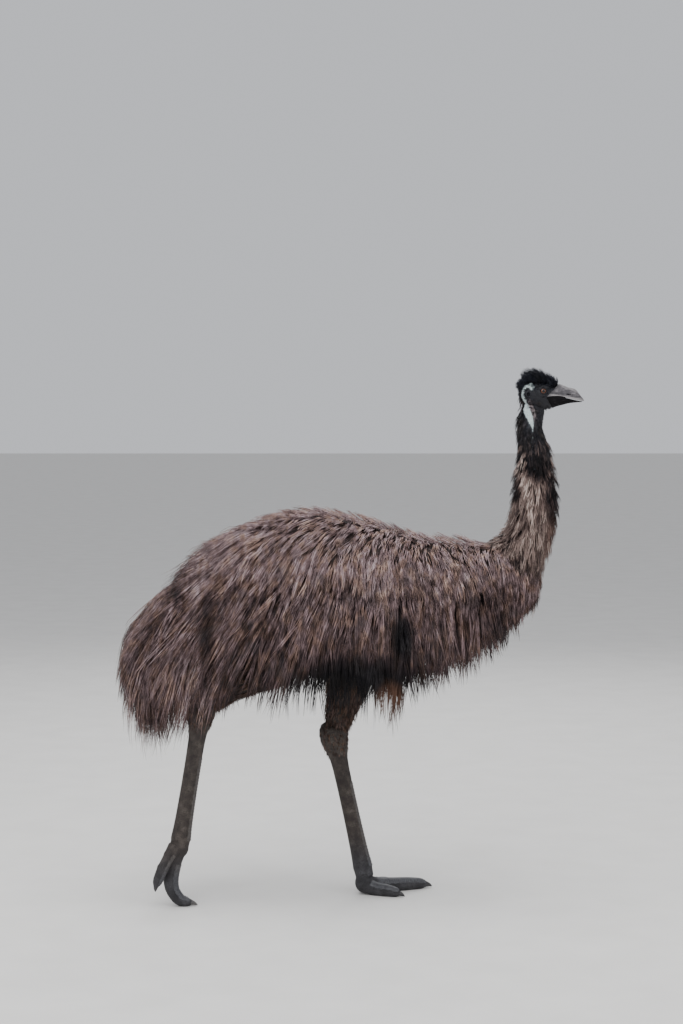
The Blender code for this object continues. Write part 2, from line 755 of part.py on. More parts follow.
def drumstick_rows(side):
    knee, hock = LEG_JOINTS[side]["knee"], LEG_JOINTS[side]["hock"]
    rows = []
    for share, deep, wide in smooth_rows(DRUMSTICK, 8):
        rows.append((*between(knee, hock, share), deep, wide))
    return rows


def shank_rows(side):
    hock, toes = LEG_JOINTS[side]["hock"], LEG_JOINTS[side]["toes"]
    rows = []
    for share, deep, wide in smooth_rows(SHANK, 14):
        rows.append((*between(hock, toes, share), deep, wide))
    return rows


def drumstick(side, grow=0.0):
    return tube("drumstick_" + side, drumstick_rows(side), 12, grow=grow)


def shank(side, grow=0.0):
    """The long scaled bone of the leg, with the hock's knob at its upper end."""
    return tube("shank_" + side, shank_rows(side), 12, grow=grow)


def scuted(rows, scutes):
    """Toe rows with a step at each scute: the ring at its front stands proud, the one behind it is low."""
    stepped = []
    count = 2 * scutes + 1
    for k, row in enumerate(smooth_rows(rows, count)):
        rise = SCUTE_RISE if k % 2 else 0.0
        if k in (0, count - 1):
            rise = 0.0
        stepped.append((*row[:3], row[3] + rise))
    return stepped


def toe(name, rows, grow=0.0, scutes=6):
    """A padded toe with scutes. Its width lies level, or across the leg where the toe hangs."""
    heading = Vector(rows[-1][:3]) - Vector(rows[0][:3])
    across = heading.cross(UP) if abs(heading.z) < heading.length * 0.7 else LEFT
    made = [(*row[:3], row[3] * TOE_ROUND, row[3]) for row in scuted(rows, scutes)]
    return tube(name, made, 8, across=across.normalized(), grow=grow)


def claw(name, rows, length, grow=0.0):
    """A blunt, curved claw out of the toe's end."""
    end = Vector(rows[-1][:3])
    heading = (end - Vector(rows[-2][:3])).normalized()
    half = rows[-1][3] * 0.78
    points = []
    for share, thick in ((-0.45, 0.80), (0.05, 1.0), (0.40, 0.80), (0.72, 0.48), (0.93, 0.18)):
        drop = GRAVITY * CLAW_DROP * length * max(0.0, share) ** 2 * (1 - abs(heading.z))
        curl = Vector((1, 0, 0)) * 0.18 * length * max(0.0, share) ** 2 * abs(heading.z)
        spot = end + heading * length * share + drop + curl
        points.append((*spot, half * thick * 0.9, half * thick))
    across = heading.cross(UP) if abs(heading.z) < 0.7 else LEFT
    return tube(name, points, 8, across=across.normalized(), grow=grow)


def floor_block(top):
    """Everything below this height, for cutting the flats that the feet stand on."""
    return prism("floor", [(-1, -0.1), (1, -0.1), (1, top), (-1, top)], 0.5)


def foot_pieces(side):
    """The joint above the toes and the toes themselves, fused."""
    toes = PLANTED_TOES if side == "L" else LIFTED_TOES
    joint = Vector(LEG_JOINTS[side]["toes"])
    hock = Vector(LEG_JOINTS[side]["hock"])
    up_leg = (hock - joint).normalized()
    if side == "L":
        knuckle = ball("foot_L", joint + Vector((-0.002, 0, -0.016)), (0.031, 0.030, 0.036), 12, 8)
    else:
        knuckle = ball("foot_R", joint + up_leg * 0.004, (0.029, 0.028, 0.034), 12, 8)
    ankle = tube("ankle", [(*(joint + up_leg * 0.066), 0.0255, 0.0215), (*(joint + up_leg * 0.030), 0.0280, 0.0240),
                           (*joint, 0.0260, 0.0250)], 12)
    return [knuckle, ankle] + [toe("toe", toes[name], scutes=5 if name == "middle" else 4) for name in toes]


def build_leg(side, finishes):
    """Drumstick, shank, foot and claws of one leg, each clear of the next."""
    toes = PLANTED_TOES if side == "L" else LIFTED_TOES
    pieces = foot_pieces(side)
    foot = pieces[0]
    combine(foot, pieces[1:], "UNION")
    cutters = [shank(side, CLEARANCE), floor_block(0.0)]
    cutters += [claw("claw", toes[name], CLAW_LENGTH[name], CLEARANCE) for name in toes]
    combine(foot, cutters, "DIFFERENCE")
    finish(keep_largest(foot), finishes["foot"])
    made = shank(side)
    combine(made, [drumstick(side, CLEARANCE)], "DIFFERENCE")
    finish(keep_largest(made), finishes["shank"])
    finish(drumstick(side), finishes["thigh"])
    for name in toes:
        nail = claw(f"claw_{side}_{name}", toes[name], CLAW_LENGTH[name])
        combine(nail, [floor_block(0.0005)], "DIFFERENCE")
        finish(keep_largest(nail), finishes["claw"])


def leg_cutters():
    """Both upper legs, grown by the clearance, for cutting the body and the tail clear of them."""
    return [form(side, CLEARANCE) for side in "LR" for form in (drumstick, shank)]


def rest_on_origin():
    """Moves every node so that the origin is under the middle of the whole bird, on the floor."""
    nodes = [made for made in bpy.context.scene.objects if made.type == "MESH"]
    points = np.array([v.co for made in nodes for v in made.data.vertices])
    low, high = points.min(axis=0), points.max(axis=0)
    shift = Vector((-(low[0] + high[0]) / 2, -(low[1] + high[1]) / 2, -low[2]))
    for made in nodes:
        made.data.transform(Matrix.Translation(shift))


def main():
    clear_scene()
    finishes = {
        "plume": material("brown_plumage", (0.085, 0.062, 0.052), 0.85),
        "neck": material("dark_neck_plumage", (0.045, 0.037, 0.035), 0.85),
        "head": material("dark_head_plumage", (0.012, 0.012, 0.015), 0.80),
        "throat": material("pale_blue_skin", (0.150, 0.170, 0.180), 0.60),
        "bill": material("grey_bill", (0.110, 0.100, 0.105), 0.40),
        "eye": material("brown_eye", (0.120, 0.030, 0.010), 0.10),
        "thigh": material("thigh_down", (0.055, 0.040, 0.036), 0.85),
        "shank": material("grey_brown_scales", (0.060, 0.052, 0.052), 0.60),
        "foot": material("slate_scales", (0.045, 0.046, 0.052), 0.60),
        "claw": material("dark_claw", (0.025, 0.025, 0.028), 0.35),
    }
    build_head(finishes)
    for side in "LR":
        build_leg(side, finishes)
    build_plumed(plumed(throat_core, throat_plumes), plumed(skull, crown_plumes, CLEARANCE), finishes["throat"])
    build_plumed(plumed(neck_core, neck_plumes), plumed(throat_core, throat_plumes, CLEARANCE), finishes["neck"])
    build_plumed(plumed(tail_core, tail_plumes), leg_cutters(), finishes["plume"])
    cutters = plumed(neck_core, neck_plumes, CLEARANCE) + plumed(tail_core, tail_plumes, CLEARANCE) + leg_cutters()
    build_plumed(plumed(body_core, body_plumes), cutters, finishes["plume"])
    rest_on_origin()


main()
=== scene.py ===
# An emu in mid stride, life size: skin, plumage, bill, eyes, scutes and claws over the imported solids.
# Metres, +Z up, +X towards the bill, floor at Z = 0.

import json
import math

import bpy
import numpy as np
from mathutils import Matrix, Vector, noise
from mathutils.bvhtree import BVHTree

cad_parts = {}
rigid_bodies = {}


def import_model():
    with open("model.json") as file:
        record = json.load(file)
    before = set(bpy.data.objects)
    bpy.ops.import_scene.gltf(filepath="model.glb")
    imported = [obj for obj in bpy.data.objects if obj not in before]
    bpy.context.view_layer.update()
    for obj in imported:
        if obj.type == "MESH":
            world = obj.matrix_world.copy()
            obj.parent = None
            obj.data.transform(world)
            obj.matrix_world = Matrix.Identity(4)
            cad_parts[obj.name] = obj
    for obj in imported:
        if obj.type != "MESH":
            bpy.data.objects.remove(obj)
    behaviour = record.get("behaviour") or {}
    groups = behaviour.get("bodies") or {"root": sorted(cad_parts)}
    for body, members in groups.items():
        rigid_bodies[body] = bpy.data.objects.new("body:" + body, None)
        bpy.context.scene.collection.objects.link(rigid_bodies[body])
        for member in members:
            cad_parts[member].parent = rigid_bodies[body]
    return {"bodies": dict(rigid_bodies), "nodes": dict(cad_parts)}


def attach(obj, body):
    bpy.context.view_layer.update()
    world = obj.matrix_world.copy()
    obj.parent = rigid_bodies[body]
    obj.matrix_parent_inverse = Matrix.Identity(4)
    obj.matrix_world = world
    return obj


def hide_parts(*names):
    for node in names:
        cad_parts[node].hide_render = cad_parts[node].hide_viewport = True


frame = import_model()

noise.seed_set(1)  # noise_vector takes its seed from the clock where none is set
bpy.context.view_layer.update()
bodyName = "root" if "root" in frame["bodies"] else list(frame["bodies"])[0]
leftWay = Vector((0, 1, 0))
upWay = Vector((0, 0, 1))
print("emu: frame loaded,", len(frame["nodes"]), "nodes on", bodyName)

# Forms of the body. Rows go from the rear to the front, or from the base of a part to its end.

bodyRows = [  # x, height of the middle, half height, half width
    (-0.492, 0.867, 0.021, 0.022), (-0.475, 0.871, 0.063, 0.058), (-0.42, 0.876, 0.12, 0.096),
    (-0.33, 0.894, 0.174, 0.128), (-0.21, 0.9055, 0.2105, 0.147), (-0.08, 0.902, 0.224, 0.152),
    (0.06, 0.886, 0.212, 0.147), (0.2, 0.868, 0.186, 0.138), (0.33, 0.881, 0.153, 0.122),
    (0.43, 0.914, 0.122, 0.102), (0.5, 0.926, 0.092, 0.08), (0.538, 0.927, 0.061, 0.054),
    (0.554, 0.925, 0.025, 0.022),
]
tailRows = [  # x, z, half depth, half width
    (-0.425, 0.89, 0.034, 0.044), (-0.458, 0.878, 0.064, 0.078), (-0.5, 0.846, 0.07, 0.104),
    (-0.54, 0.792, 0.056, 0.092), (-0.568, 0.732, 0.036, 0.062), (-0.58, 0.694, 0.016, 0.024),
]
neckRows = [  # x, z, half depth, half width
    (0.405, 0.925, 0.05, 0.046), (0.452, 0.97, 0.086, 0.072), (0.496, 1.022, 0.068, 0.062),
    (0.523, 1.075, 0.055, 0.053), (0.534, 1.131, 0.054, 0.048), (0.535, 1.198, 0.052, 0.045),
    (0.535, 1.264, 0.045, 0.04),
]
throatRows = [  # the same
    (0.535, 1.25, 0.046, 0.04), (0.534, 1.293, 0.041, 0.036), (0.529, 1.33, 0.037, 0.0325),
    (0.522, 1.366, 0.0335, 0.03), (0.525, 1.4, 0.033, 0.028), (0.532, 1.436, 0.032, 0.0255),
    (0.535, 1.462, 0.023, 0.02),
]
skullRows = [  # x, z, half height, half width
    (0.489, 1.479, 0.01, 0.009), (0.496, 1.478, 0.025, 0.02), (0.512, 1.4745, 0.039, 0.031),
    (0.534, 1.4725, 0.046, 0.0365), (0.556, 1.471, 0.0445, 0.035), (0.578, 1.468, 0.0375, 0.0295),
    (0.596, 1.466, 0.03, 0.024), (0.61, 1.465, 0.024, 0.019), (0.622, 1.464, 0.012, 0.01),
]
legJoints = {
    "L": {"knee": (0.035, 0.1, 0.78), "hock": (-0.048, 0.066, 0.46), "toes": (0.043, 0.022, 0.05)},
    "R": {"knee": (-0.12, -0.105, 0.77), "hock": (-0.427, -0.116, 0.566), "toes": (-0.493, -0.121, 0.166)},
}
thighRows = [  # share of the way, half depth, half width
    (-0.25, 0.052, 0.038), (0.0, 0.06, 0.044), (0.25, 0.076, 0.054), (0.55, 0.064, 0.046),
    (0.8, 0.046, 0.036), (0.945, 0.037, 0.029),
]
shankRows = [  # the same
    (-0.1, 0.011, 0.009), (-0.085, 0.026, 0.02), (-0.045, 0.038, 0.028), (0.0, 0.0415, 0.0305),
    (0.05, 0.038, 0.0285), (0.11, 0.032, 0.0255), (0.2, 0.025, 0.0205), (0.5, 0.0235, 0.019),
    (0.8, 0.0255, 0.0205), (0.93, 0.029, 0.025),
]
toePoints = {  # x, y, z, half width, from the joint to the claw
    "L": {
        "inner": [(0.036, 0.019, 0.032, 0.0235), (0.074, 0.008, 0.0175, 0.0205),
                  (0.106, -0.004, 0.0155, 0.019), (0.132, -0.014, 0.0125, 0.0155),
                  (0.141, -0.017, 0.011, 0.0095)],
        "middle": [(0.036, 0.022, 0.036, 0.026), (0.082, 0.04, 0.0215, 0.024),
                   (0.126, 0.058, 0.0185, 0.022), (0.172, 0.076, 0.0168, 0.02), (0.208, 0.09, 0.014, 0.017),
                   (0.222, 0.095, 0.0125, 0.011)],
        "outer": [(0.034, 0.028, 0.032, 0.0235), (0.064, 0.06, 0.018, 0.02), (0.088, 0.092, 0.0155, 0.0185),
                  (0.108, 0.119, 0.0125, 0.015), (0.115, 0.128, 0.0115, 0.0095)],
    },
    "R": {
        "inner": [(-0.492, -0.109, 0.172, 0.022), (-0.511, -0.099, 0.138, 0.017),
                  (-0.523, -0.092, 0.104, 0.0165), (-0.525, -0.088, 0.078, 0.014),
                  (-0.524, -0.087, 0.07, 0.0095)],
        "middle": [(-0.494, -0.122, 0.17, 0.026), (-0.509, -0.123, 0.124, 0.024),
                   (-0.517, -0.124, 0.082, 0.0235), (-0.512, -0.125, 0.046, 0.0205),
                   (-0.493, -0.126, 0.0195, 0.0185), (-0.473, -0.127, 0.0125, 0.015),
                   (-0.463, -0.127, 0.0115, 0.0105)],
        "outer": [(-0.503, -0.134, 0.176, 0.022), (-0.524, -0.146, 0.142, 0.017),
                  (-0.542, -0.154, 0.106, 0.0165), (-0.553, -0.158, 0.078, 0.014),
                  (-0.556, -0.159, 0.068, 0.0095)],
    },
}
gape = Vector((0.564, 0, 1.461))
billTopEdge = Vector((0.618, 0, 1.515))
billLowerEdge = Vector((0.596, 0, 1.42))
eyeCentre = Vector((0.555, 0.0245, 1.4795))
earCentre = Vector((0.512, 0.035, 1.47))
paleBand = [  # bare pale skin from behind the ear down the side of the throat: z, x, half width
    (1.37, 0.526, 0.001), (1.38, 0.5245, 0.005), (1.393, 0.5205, 0.0085), (1.408, 0.515, 0.0105),
    (1.424, 0.509, 0.0108), (1.44, 0.504, 0.009), (1.456, 0.5, 0.0062), (1.47, 0.4975, 0.0045),
    (1.482, 0.499, 0.004), (1.49, 0.503, 0.005), (1.495, 0.508, 0.003), (1.498, 0.512, 0.0001),
]
paleSpots = [  # x, z, half sizes: behind the eye, and over the ear
    (0.522, 1.4935, 0.007, 0.011), (0.512, 1.4935, 0.008, 0.0045),
]
darkEar = (0.5108, 1.469, 0.0068, 0.0135)


# Modelling tools

def deselectAll():
    bpy.ops.object.select_all(action="DESELECT")


def activate(*pieces):
    deselectAll()
    for piece in pieces:
        piece.select_set(True)
    bpy.context.view_layer.objects.active = pieces[0]


def applyModifiers(piece):
    activate(piece)
    for step in list(piece.modifiers):
        bpy.ops.object.modifier_apply(modifier=step.name)
    return piece


def placeInMesh(piece):
    activate(piece)
    bpy.ops.object.transform_apply(location=True, rotation=True, scale=True)
    return piece


def onAllFaces(piece, work):
    # work in edit mode with everything selected, then outward faces
    activate(piece)
    bpy.ops.object.mode_set(mode="EDIT")
    bpy.ops.mesh.select_all(action="SELECT")
    work()
    bpy.ops.mesh.select_all(action="SELECT")
    bpy.ops.mesh.normals_make_consistent(inside=False)
    bpy.ops.object.mode_set(mode="OBJECT")
    return piece


def smoothRows(rows, count):
    # rows read from a smooth curve through the given ones
    points = np.array(rows, float)
    last = len(points) - 1
    along = np.linspace(0, last, count)
    index = np.clip(along.astype(int), 0, last - 1)
    part = (along - index)[:, None]
    before, here = points[np.clip(index - 1, 0, last)], points[index]
    there, after = points[index + 1], points[np.clip(index + 2, 0, last)]
    bend = 2 * before - 5 * here + 4 * there - after
    twist = 3 * here - before - 3 * there + after
    return 0.5 * (2 * here + (there - before) * part + bend * part ** 2 + twist * part ** 3)


def loft(name, axis, rows, sides=24):
    # a ring extruded and resized from row to row: x, y, z, then depth or height, then width
    turn = (0, math.pi / 2, 0) if axis == "X" else (0, 0, 0)
    rows = [[float(value) for value in row] for row in rows]
    deselectAll()
    bpy.ops.mesh.primitive_circle_add(vertices=sides, radius=1, fill_type="NGON",
                                      location=rows[0][:3], rotation=turn)
    piece = bpy.context.object
    piece.name = name

    def sizeOf(row):
        return (1, row[4], row[3]) if axis == "X" else (row[3], row[4], 1)

    def grow():
        bpy.ops.transform.resize(value=sizeOf(rows[0]), center_override=rows[0][:3])
        for before, row in zip(rows, rows[1:]):
            step = [new - old for new, old in zip(row[:3], before[:3])]
            ratio = [new / old for new, old in zip(sizeOf(row), sizeOf(before))]
            bpy.ops.mesh.extrude_region_move(TRANSFORM_OT_translate={"value": step})
            bpy.ops.transform.resize(value=ratio, center_override=row[:3])

    return placeInMesh(onAllFaces(piece, grow))


def limb(name, start, end, rows, sides=24):
    # a loft up the Z axis, turned to lie from start to end
    start, end = Vector(start), Vector(end)
    ahead = (end - start).normalized()
    wide = (leftWay - ahead * ahead.y).normalized()
    deep = wide.cross(ahead)
    length = (end - start).length
    piece = loft(name, "Z", [(0, 0, share * length, depth, width) for share, depth, width in rows], sides)
    piece.matrix_world = Matrix.Translation(start) @ Matrix((deep, wide, ahead)).transposed().to_4x4()
    return placeInMesh(piece)


def ball(name, centre, radii, segments=24, rings=14):
    deselectAll()
    bpy.ops.mesh.primitive_uv_sphere_add(segments=segments, ring_count=rings, radius=1, location=centre,
                                         scale=radii)
    piece = bpy.context.object
    piece.name = name
    return placeInMesh(piece)


def curveTube(name, points, sides=4, closed=False):
    # a round tube whose radius follows the points
    curve = bpy.data.curves.new(name, "CURVE")
    curve.dimensions = "3D"
    curve.bevel_depth = 1.0
    curve.bevel_resolution = sides
    curve.use_fill_caps = not closed
    line = curve.splines.new("POLY")
    line.use_cyclic_u = closed
    line.points.add(len(points) - 1)
    for place, point in zip(line.points, points):
        place.co = (*point[:3], 1)
        place.radius = point[3]
    piece = bpy.data.objects.new(name, curve)
    bpy.context.scene.collection.objects.link(piece)
    activate(piece)
    bpy.ops.object.convert(target="MESH")
    return bpy.context.object


def joinPieces(pieces, name):
    activate(*pieces)
    if len(pieces) > 1:
        bpy.ops.object.join()
    pieces[0].name = name
    return pieces[0]


def fuse(pieces, name, voxel, smoothing):
    # overlapping forms melted into one surface
    fused = joinPieces(pieces, name)
    remesh = fused.modifiers.new("remesh", "REMESH")
    remesh.mode = "VOXEL"
    remesh.voxel_size = voxel
    soften = fused.modifiers.new("soften", "SMOOTH")
    soften.factor = 0.5
    soften.iterations = smoothing
    return applyModifiers(fused)


def carve(target, tools, operation):
    group = bpy.data.collections.new("tools")
    for tool in tools:
        group.objects.link(tool)
    step = target.modifiers.new("carve", "BOOLEAN")
    step.operation = operation
    step.operand_type = "COLLECTION"
    step.collection = group
    step.solver = "MANIFOLD"
    applyModifiers(target)
    for tool in tools:
        bpy.data.objects.remove(tool)
    bpy.data.collections.remove(group)
    return target


def shadeSmooth(piece, angle=None):
    activate(piece)
    if angle is None:
        bpy.ops.object.shade_smooth()
    else:
        bpy.ops.object.shade_smooth_by_angle(angle=math.radians(angle))


def meshFrom(name, points, faces):
    # a mesh straight from arrays of points and triangles or quads
    mesh = bpy.data.meshes.new(name)
    sides = faces.shape[1]
    mesh.vertices.add(len(points))
    mesh.vertices.foreach_set("co", np.ascontiguousarray(points, np.float32).ravel())
    mesh.loops.add(faces.size)
    mesh.polygons.add(len(faces))
    mesh.loops.foreach_set("vertex_index", np.ascontiguousarray(faces, np.int32).ravel())
    mesh.polygons.foreach_set("loop_start", np.arange(len(faces), dtype=np.int32) * sides)
    mesh.update(calc_edges=True)
    mesh.validate()
    piece = bpy.data.objects.new(name, mesh)
    bpy.context.scene.collection.objects.link(piece)
    return piece


def tidySkin(piece):
    # merged points and outward faces
    return onAllFaces(piece, lambda: bpy.ops.mesh.remove_doubles(threshold=0.00001))


def dress(piece, finish, slotName, *nodes):
    # the finish, the body it rides on, and the nodes whose place it takes; slotName is not used
    piece.data.materials.clear()
    piece.data.materials.append(finish)
    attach(piece, bodyName)
    if nodes:
        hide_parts(*nodes)


# Finishes

class Wire:
    # a socket of a node tree, so that a finish reads as sums
    def __init__(self, finish, socket):
        self.finish = finish
        self.socket = socket

    def maths(self, kind, first, second):
        return self.finish.node("Math", {0: first, 1: second}, operation=kind)

    def size(self):
        return self.maths("ABSOLUTE", self, 0.0)


for sign, kind in (("add", "ADD"), ("sub", "SUBTRACT"), ("mul", "MULTIPLY"), ("truediv", "DIVIDE")):
    setattr(Wire, f"__{sign}__", lambda self, other, kind=kind: self.maths(kind, self, other))
    setattr(Wire, f"__r{sign}__", lambda self, other, kind=kind: self.maths(kind, other, self))


class Finish:
    def __init__(self, name, roughness, specular=0.5):
        self.material = bpy.data.materials.new(name)
        self.material.use_nodes = True
        self.tree = self.material.node_tree
        self.shader = self.tree.nodes["Principled BSDF"]
        self.shader.inputs["Roughness"].default_value = roughness
        self.shader.inputs["Specular IOR Level"].default_value = specular
        self.place = self.node("TexCoord", {}, "Object")

    def node(self, kind, values, output=0, stops=(), **settings):
        made = self.tree.nodes.new("ShaderNode" + kind)
        for name, value in settings.items():
            setattr(made, name, value)
        for _ in stops[2:]:  # a ramp starts with two
            made.color_ramp.elements.new(0.5)
        for k, (where, *colour) in enumerate(stops):
            made.color_ramp.elements[k].position = where
            made.color_ramp.elements[k].color = (*colour, 1)
        for name, value in values.items():
            if isinstance(value, Wire):
                self.tree.links.new(value.socket, made.inputs[name])
            else:
                made.inputs[name].default_value = value
        return Wire(self, made.outputs[output])

    def axis(self, letter):
        return self.node("SeparateXYZ", {0: self.place}, letter)

    def attribute(self, name):
        return self.node("Attribute", {}, "Fac", attribute_name=name)

    def stretched(self, stretch):
        return self.node("Mapping", {"Vector": self.place, "Scale": stretch})

    def mottle(self, scale, detail=2.0, stretch=(1, 1, 1)):
        return self.node("TexNoise", {"Vector": self.stretched(stretch), "Scale": scale, "Detail": detail})

    def cellEdges(self, scale, stretch):
        return self.node("TexVoronoi", {"Vector": self.stretched(stretch), "Scale": scale}, "Distance",
                         feature="DISTANCE_TO_EDGE")

    def ease(self, value, low, high):
        return self.node("MapRange", {"Value": value, "From Min": low, "From Max": high},
                         interpolation_type="SMOOTHSTEP")

    def clamp(self, value):
        return self.node("Clamp", {0: value})

    def ramp(self, value, stops):
        # stops are place, red, green, blue
        return self.node("ValToRGB", {0: value}, stops=stops)

    def greys(self, value, low, high):
        return self.ramp(value, [(0.3, low, low, low), (0.7, high, high, high)])

    def blend(self, factor, first, second):
        first, second = [(*each, 1) if isinstance(each, tuple) else each for each in (first, second)]
        return self.node("Mix", {0: factor, 6: first, 7: second}, 2, data_type="RGBA")

    def vectors(self, kind, first, second=(0, 0, 0), output=0):
        return self.node("VectorMath", {0: first, 1: second}, output, operation=kind)

    def blob(self, x, z, across, tall, soft):
        # 1 inside an oval that runs through the bird from side to side, easing to 0 outside it
        away = self.vectors("SUBTRACT", self.place, (x, 0, z))
        far = self.vectors("LENGTH", self.vectors("DIVIDE", away, (across, 1.0, tall)), output="Value")
        return self.ease(far, 1 + soft, 1 - soft)

    def spots(self, rows, *others):
        # 1 inside any of the blobs that the rows give
        result, *more = [*others, *(self.blob(*row) for row in rows)]
        for value in more:
            result = result.maths("MAXIMUM", result, value)
        return result

    def paint(self, colour, roughness=None, height=None, depth=0.001, strength=1.0, coat=0.0):
        self.shader.inputs["Coat Weight"].default_value = coat
        bump = height and self.node("Bump", {"Height": height, "Distance": depth, "Strength": strength})
        for name, value in (("Base Color", colour), ("Roughness", roughness), ("Normal", bump)):
            if value:
                self.tree.links.new(value.socket, self.shader.inputs[name])
        return self.material


def paintedPlumageShade(finish):
    # painted shade where the coat lies in shadow: darker low on the flank, in the cleft behind the breast,
    # on the belly, before the tail, over the tail and on the chest
    low = finish.ease(finish.axis("Z"), 1.03, 0.62) * finish.ease(finish.axis("X"), -0.48, -0.3)
    belly = finish.blob(0.015, 0.63, 0.17, 0.085, 0.5)
    cleft = finish.blob(0.145, 0.782, 0.026, 0.055, 0.8)
    beforeTail = finish.blob(-0.412, 0.8, 0.019, 0.1, 0.8)
    tail = finish.ease(finish.axis("X"), -0.43, -0.5)
    chest = finish.blob(0.45, 0.86, 0.12, 0.12, 0.5)
    return finish.clamp(0.44 * low + 0.7 * belly + 0.86 * cleft + 0.4 * beforeTail + 0.2 * tail
                        + 0.14 * chest)


def plumageFinish(name, stops, settings):
    # strands from near black to buff, by the tone of the lock, the place along it and the place on the bird
    finish = Finish(name, settings["roughness"], settings["specular"])
    tone = finish.attribute("tone")
    along = finish.attribute("along")
    swell = finish.ease(along, 0.02, 0.46) * (1.0 - settings["tipDark"] * finish.ease(along, 0.62, 1.0))
    patch = finish.mottle(settings["patchScale"], 3.0)
    broken = finish.mottle(75.0, 2.0, (1.0, 1.0, 0.4))
    value = tone * settings["toneWeight"] + swell * settings["swellWeight"] + settings["lift"]
    value = value + (patch - 0.5) * settings["patchWeight"] + (broken - 0.5) * settings["brokenWeight"]
    if settings["paintedLightAndMarks"]:
        # painted shade: darker where the coat lies in shadow
        value = value * (1.0 - paintedPlumageShade(finish))
        # painted light: the top of the back lifted towards buff, as if lit from above, which also fills the
        # shadow between its locks
        back = finish.blob(0.06, 1.08, 0.5, 0.15, 0.6)
        value = value + (0.8 - value) * 0.48 * back
    value = finish.clamp(value)
    cool, tan = [finish.ramp(value, [(at, *(np.array(colour) * tint)) for at, *colour in stops])
                 for tint in ((0.98, 1.0, 1.1), (1.05, 0.99, 0.88))]
    colour = finish.blend(finish.ease(finish.mottle(42.0, 3.0, (1.0, 1.0, 0.45)), 0.44, 0.62), cool, tan)
    if settings["paintedLightAndMarks"]:
        tuft = finish.blob(0.112, 0.595, 0.04, 0.06, 0.4)
        colour = finish.blend(0.75 * tuft, colour, (0.15, 0.078, 0.052))
        slate = finish.ease(finish.mottle(17.0, 3.0), 0.5, 0.66)
        colour = finish.blend(0.3 * slate, colour, (0.062, 0.056, 0.06))
    grain = finish.mottle(900, 2.0)
    return finish.paint(colour, height=grain, depth=0.0006, strength=0.5)


def bandMask(finish, shift, extra):
    # 1 inside the band of bare skin, moved by shift and wider by extra
    low, high = paleBand[0][0], paleBand[-1][0]
    share = (finish.axis("Z") - low) / (high - low)
    stops = [((z - low) / (high - low), (x - 0.49) * 20, half * 50, 0) for z, x, half in paleBand]
    course = finish.ramp(share, stops)
    middle = finish.node("SeparateColor", {0: course}, "Red") * 0.05 + 0.49 + shift
    half = finish.node("SeparateColor", {0: course}, "Green") * 0.02 + extra
    away = (finish.axis("X") - middle).size()
    ragged = (finish.mottle(230, 3.0) - 0.5) * 0.012
    return finish.ease(half - away + ragged, -0.0006, 0.0018) * finish.ease(half, 0.0004, 0.0012)


def headMask(finish):
    ear = finish.blob(*darkEar, 0.25)
    aside = finish.ease(finish.axis("Y").size(), 0.007, 0.012)
    bare = finish.spots([(*spot, 0.3) for spot in paleSpots], bandMask(finish, 0.0, 0.0))
    return bare * (1.0 - ear) * aside


def skinFinish():
    # painted shade under the coat, where the skin is near black so that the gaps between strands read as
    # shadow, a little lighter up over the back; slate and pale blue on the head and neck, scaly on the legs
    finish = Finish("emuSkin", 0.62, 0.3)
    height = finish.axis("Z")
    fine = finish.mottle(320, 4.0)
    broad = finish.mottle(60, 3.0)
    # painted shade: the skin under the coat near black, so that the gaps between strands read as shadow,
    # less dark above the middle of the body
    under = finish.ramp(broad, [(0.3, 0.012, 0.009, 0.009), (0.7, 0.03, 0.021, 0.019)])
    under = finish.blend(finish.ease(height, 0.95, 1.07), under, (0.055, 0.038, 0.035))
    slate = finish.ramp(fine, [(0.3, 0.006, 0.006, 0.008), (0.6, 0.013, 0.013, 0.017),
                               (0.8, 0.03, 0.032, 0.038)])
    pale = finish.ramp(fine, [(0.25, 0.21, 0.27, 0.27), (0.5, 0.41, 0.48, 0.48), (0.75, 0.6, 0.66, 0.65)])
    rosy = finish.ramp(fine, [(0.3, 0.085, 0.07, 0.075), (0.7, 0.2, 0.165, 0.165)])
    neck = finish.ramp(fine, [(0.3, 0.018, 0.02, 0.025), (0.7, 0.062, 0.068, 0.08)])
    head = finish.blend(finish.ease(height, 1.405, 1.365), slate, neck)
    head = finish.blend(bandMask(finish, 0.015, -0.002) * finish.ease(height, 1.375, 1.4)
                        * finish.ease(height, 1.462, 1.445), head, rosy)
    head = finish.blend(headMask(finish), head, pale)
    groove = finish.ease(finish.cellEdges(235, (1, 1, 0.8)), 0.01, 0.16)
    wearAndHighlight = finish.mottle(38, 5.0)
    shank = finish.ramp(wearAndHighlight, [(0.3, 0.024, 0.018, 0.016), (0.5, 0.046, 0.036, 0.031),
                               (0.72, 0.092, 0.076, 0.065)])
    foot = finish.ramp(wearAndHighlight, [(0.3, 0.02, 0.02, 0.023), (0.5, 0.037, 0.036, 0.04),
                              (0.75, 0.068, 0.066, 0.073)])
    leg = finish.blend(finish.ease(height, 0.2, 0.07), shank, foot)
    leg = finish.blend(groove * 0.55 + 0.45, (0.012, 0.01, 0.01), leg)
    colour = finish.blend(finish.ease(height, 0.5, 0.56), leg, under)
    colour = finish.blend(finish.ease(height, 1.16, 1.24), colour, head)
    onLeg = finish.ease(height, 0.6, 0.52)
    folds = finish.mottle(150, 3.0, (1.0, 1.0, 0.35))
    bump = groove * onLeg + (fine * 0.4 + folds * 0.8) * (1.0 - 0.8 * onLeg)
    return finish.paint(colour, height=bump, depth=0.0012, strength=0.7)


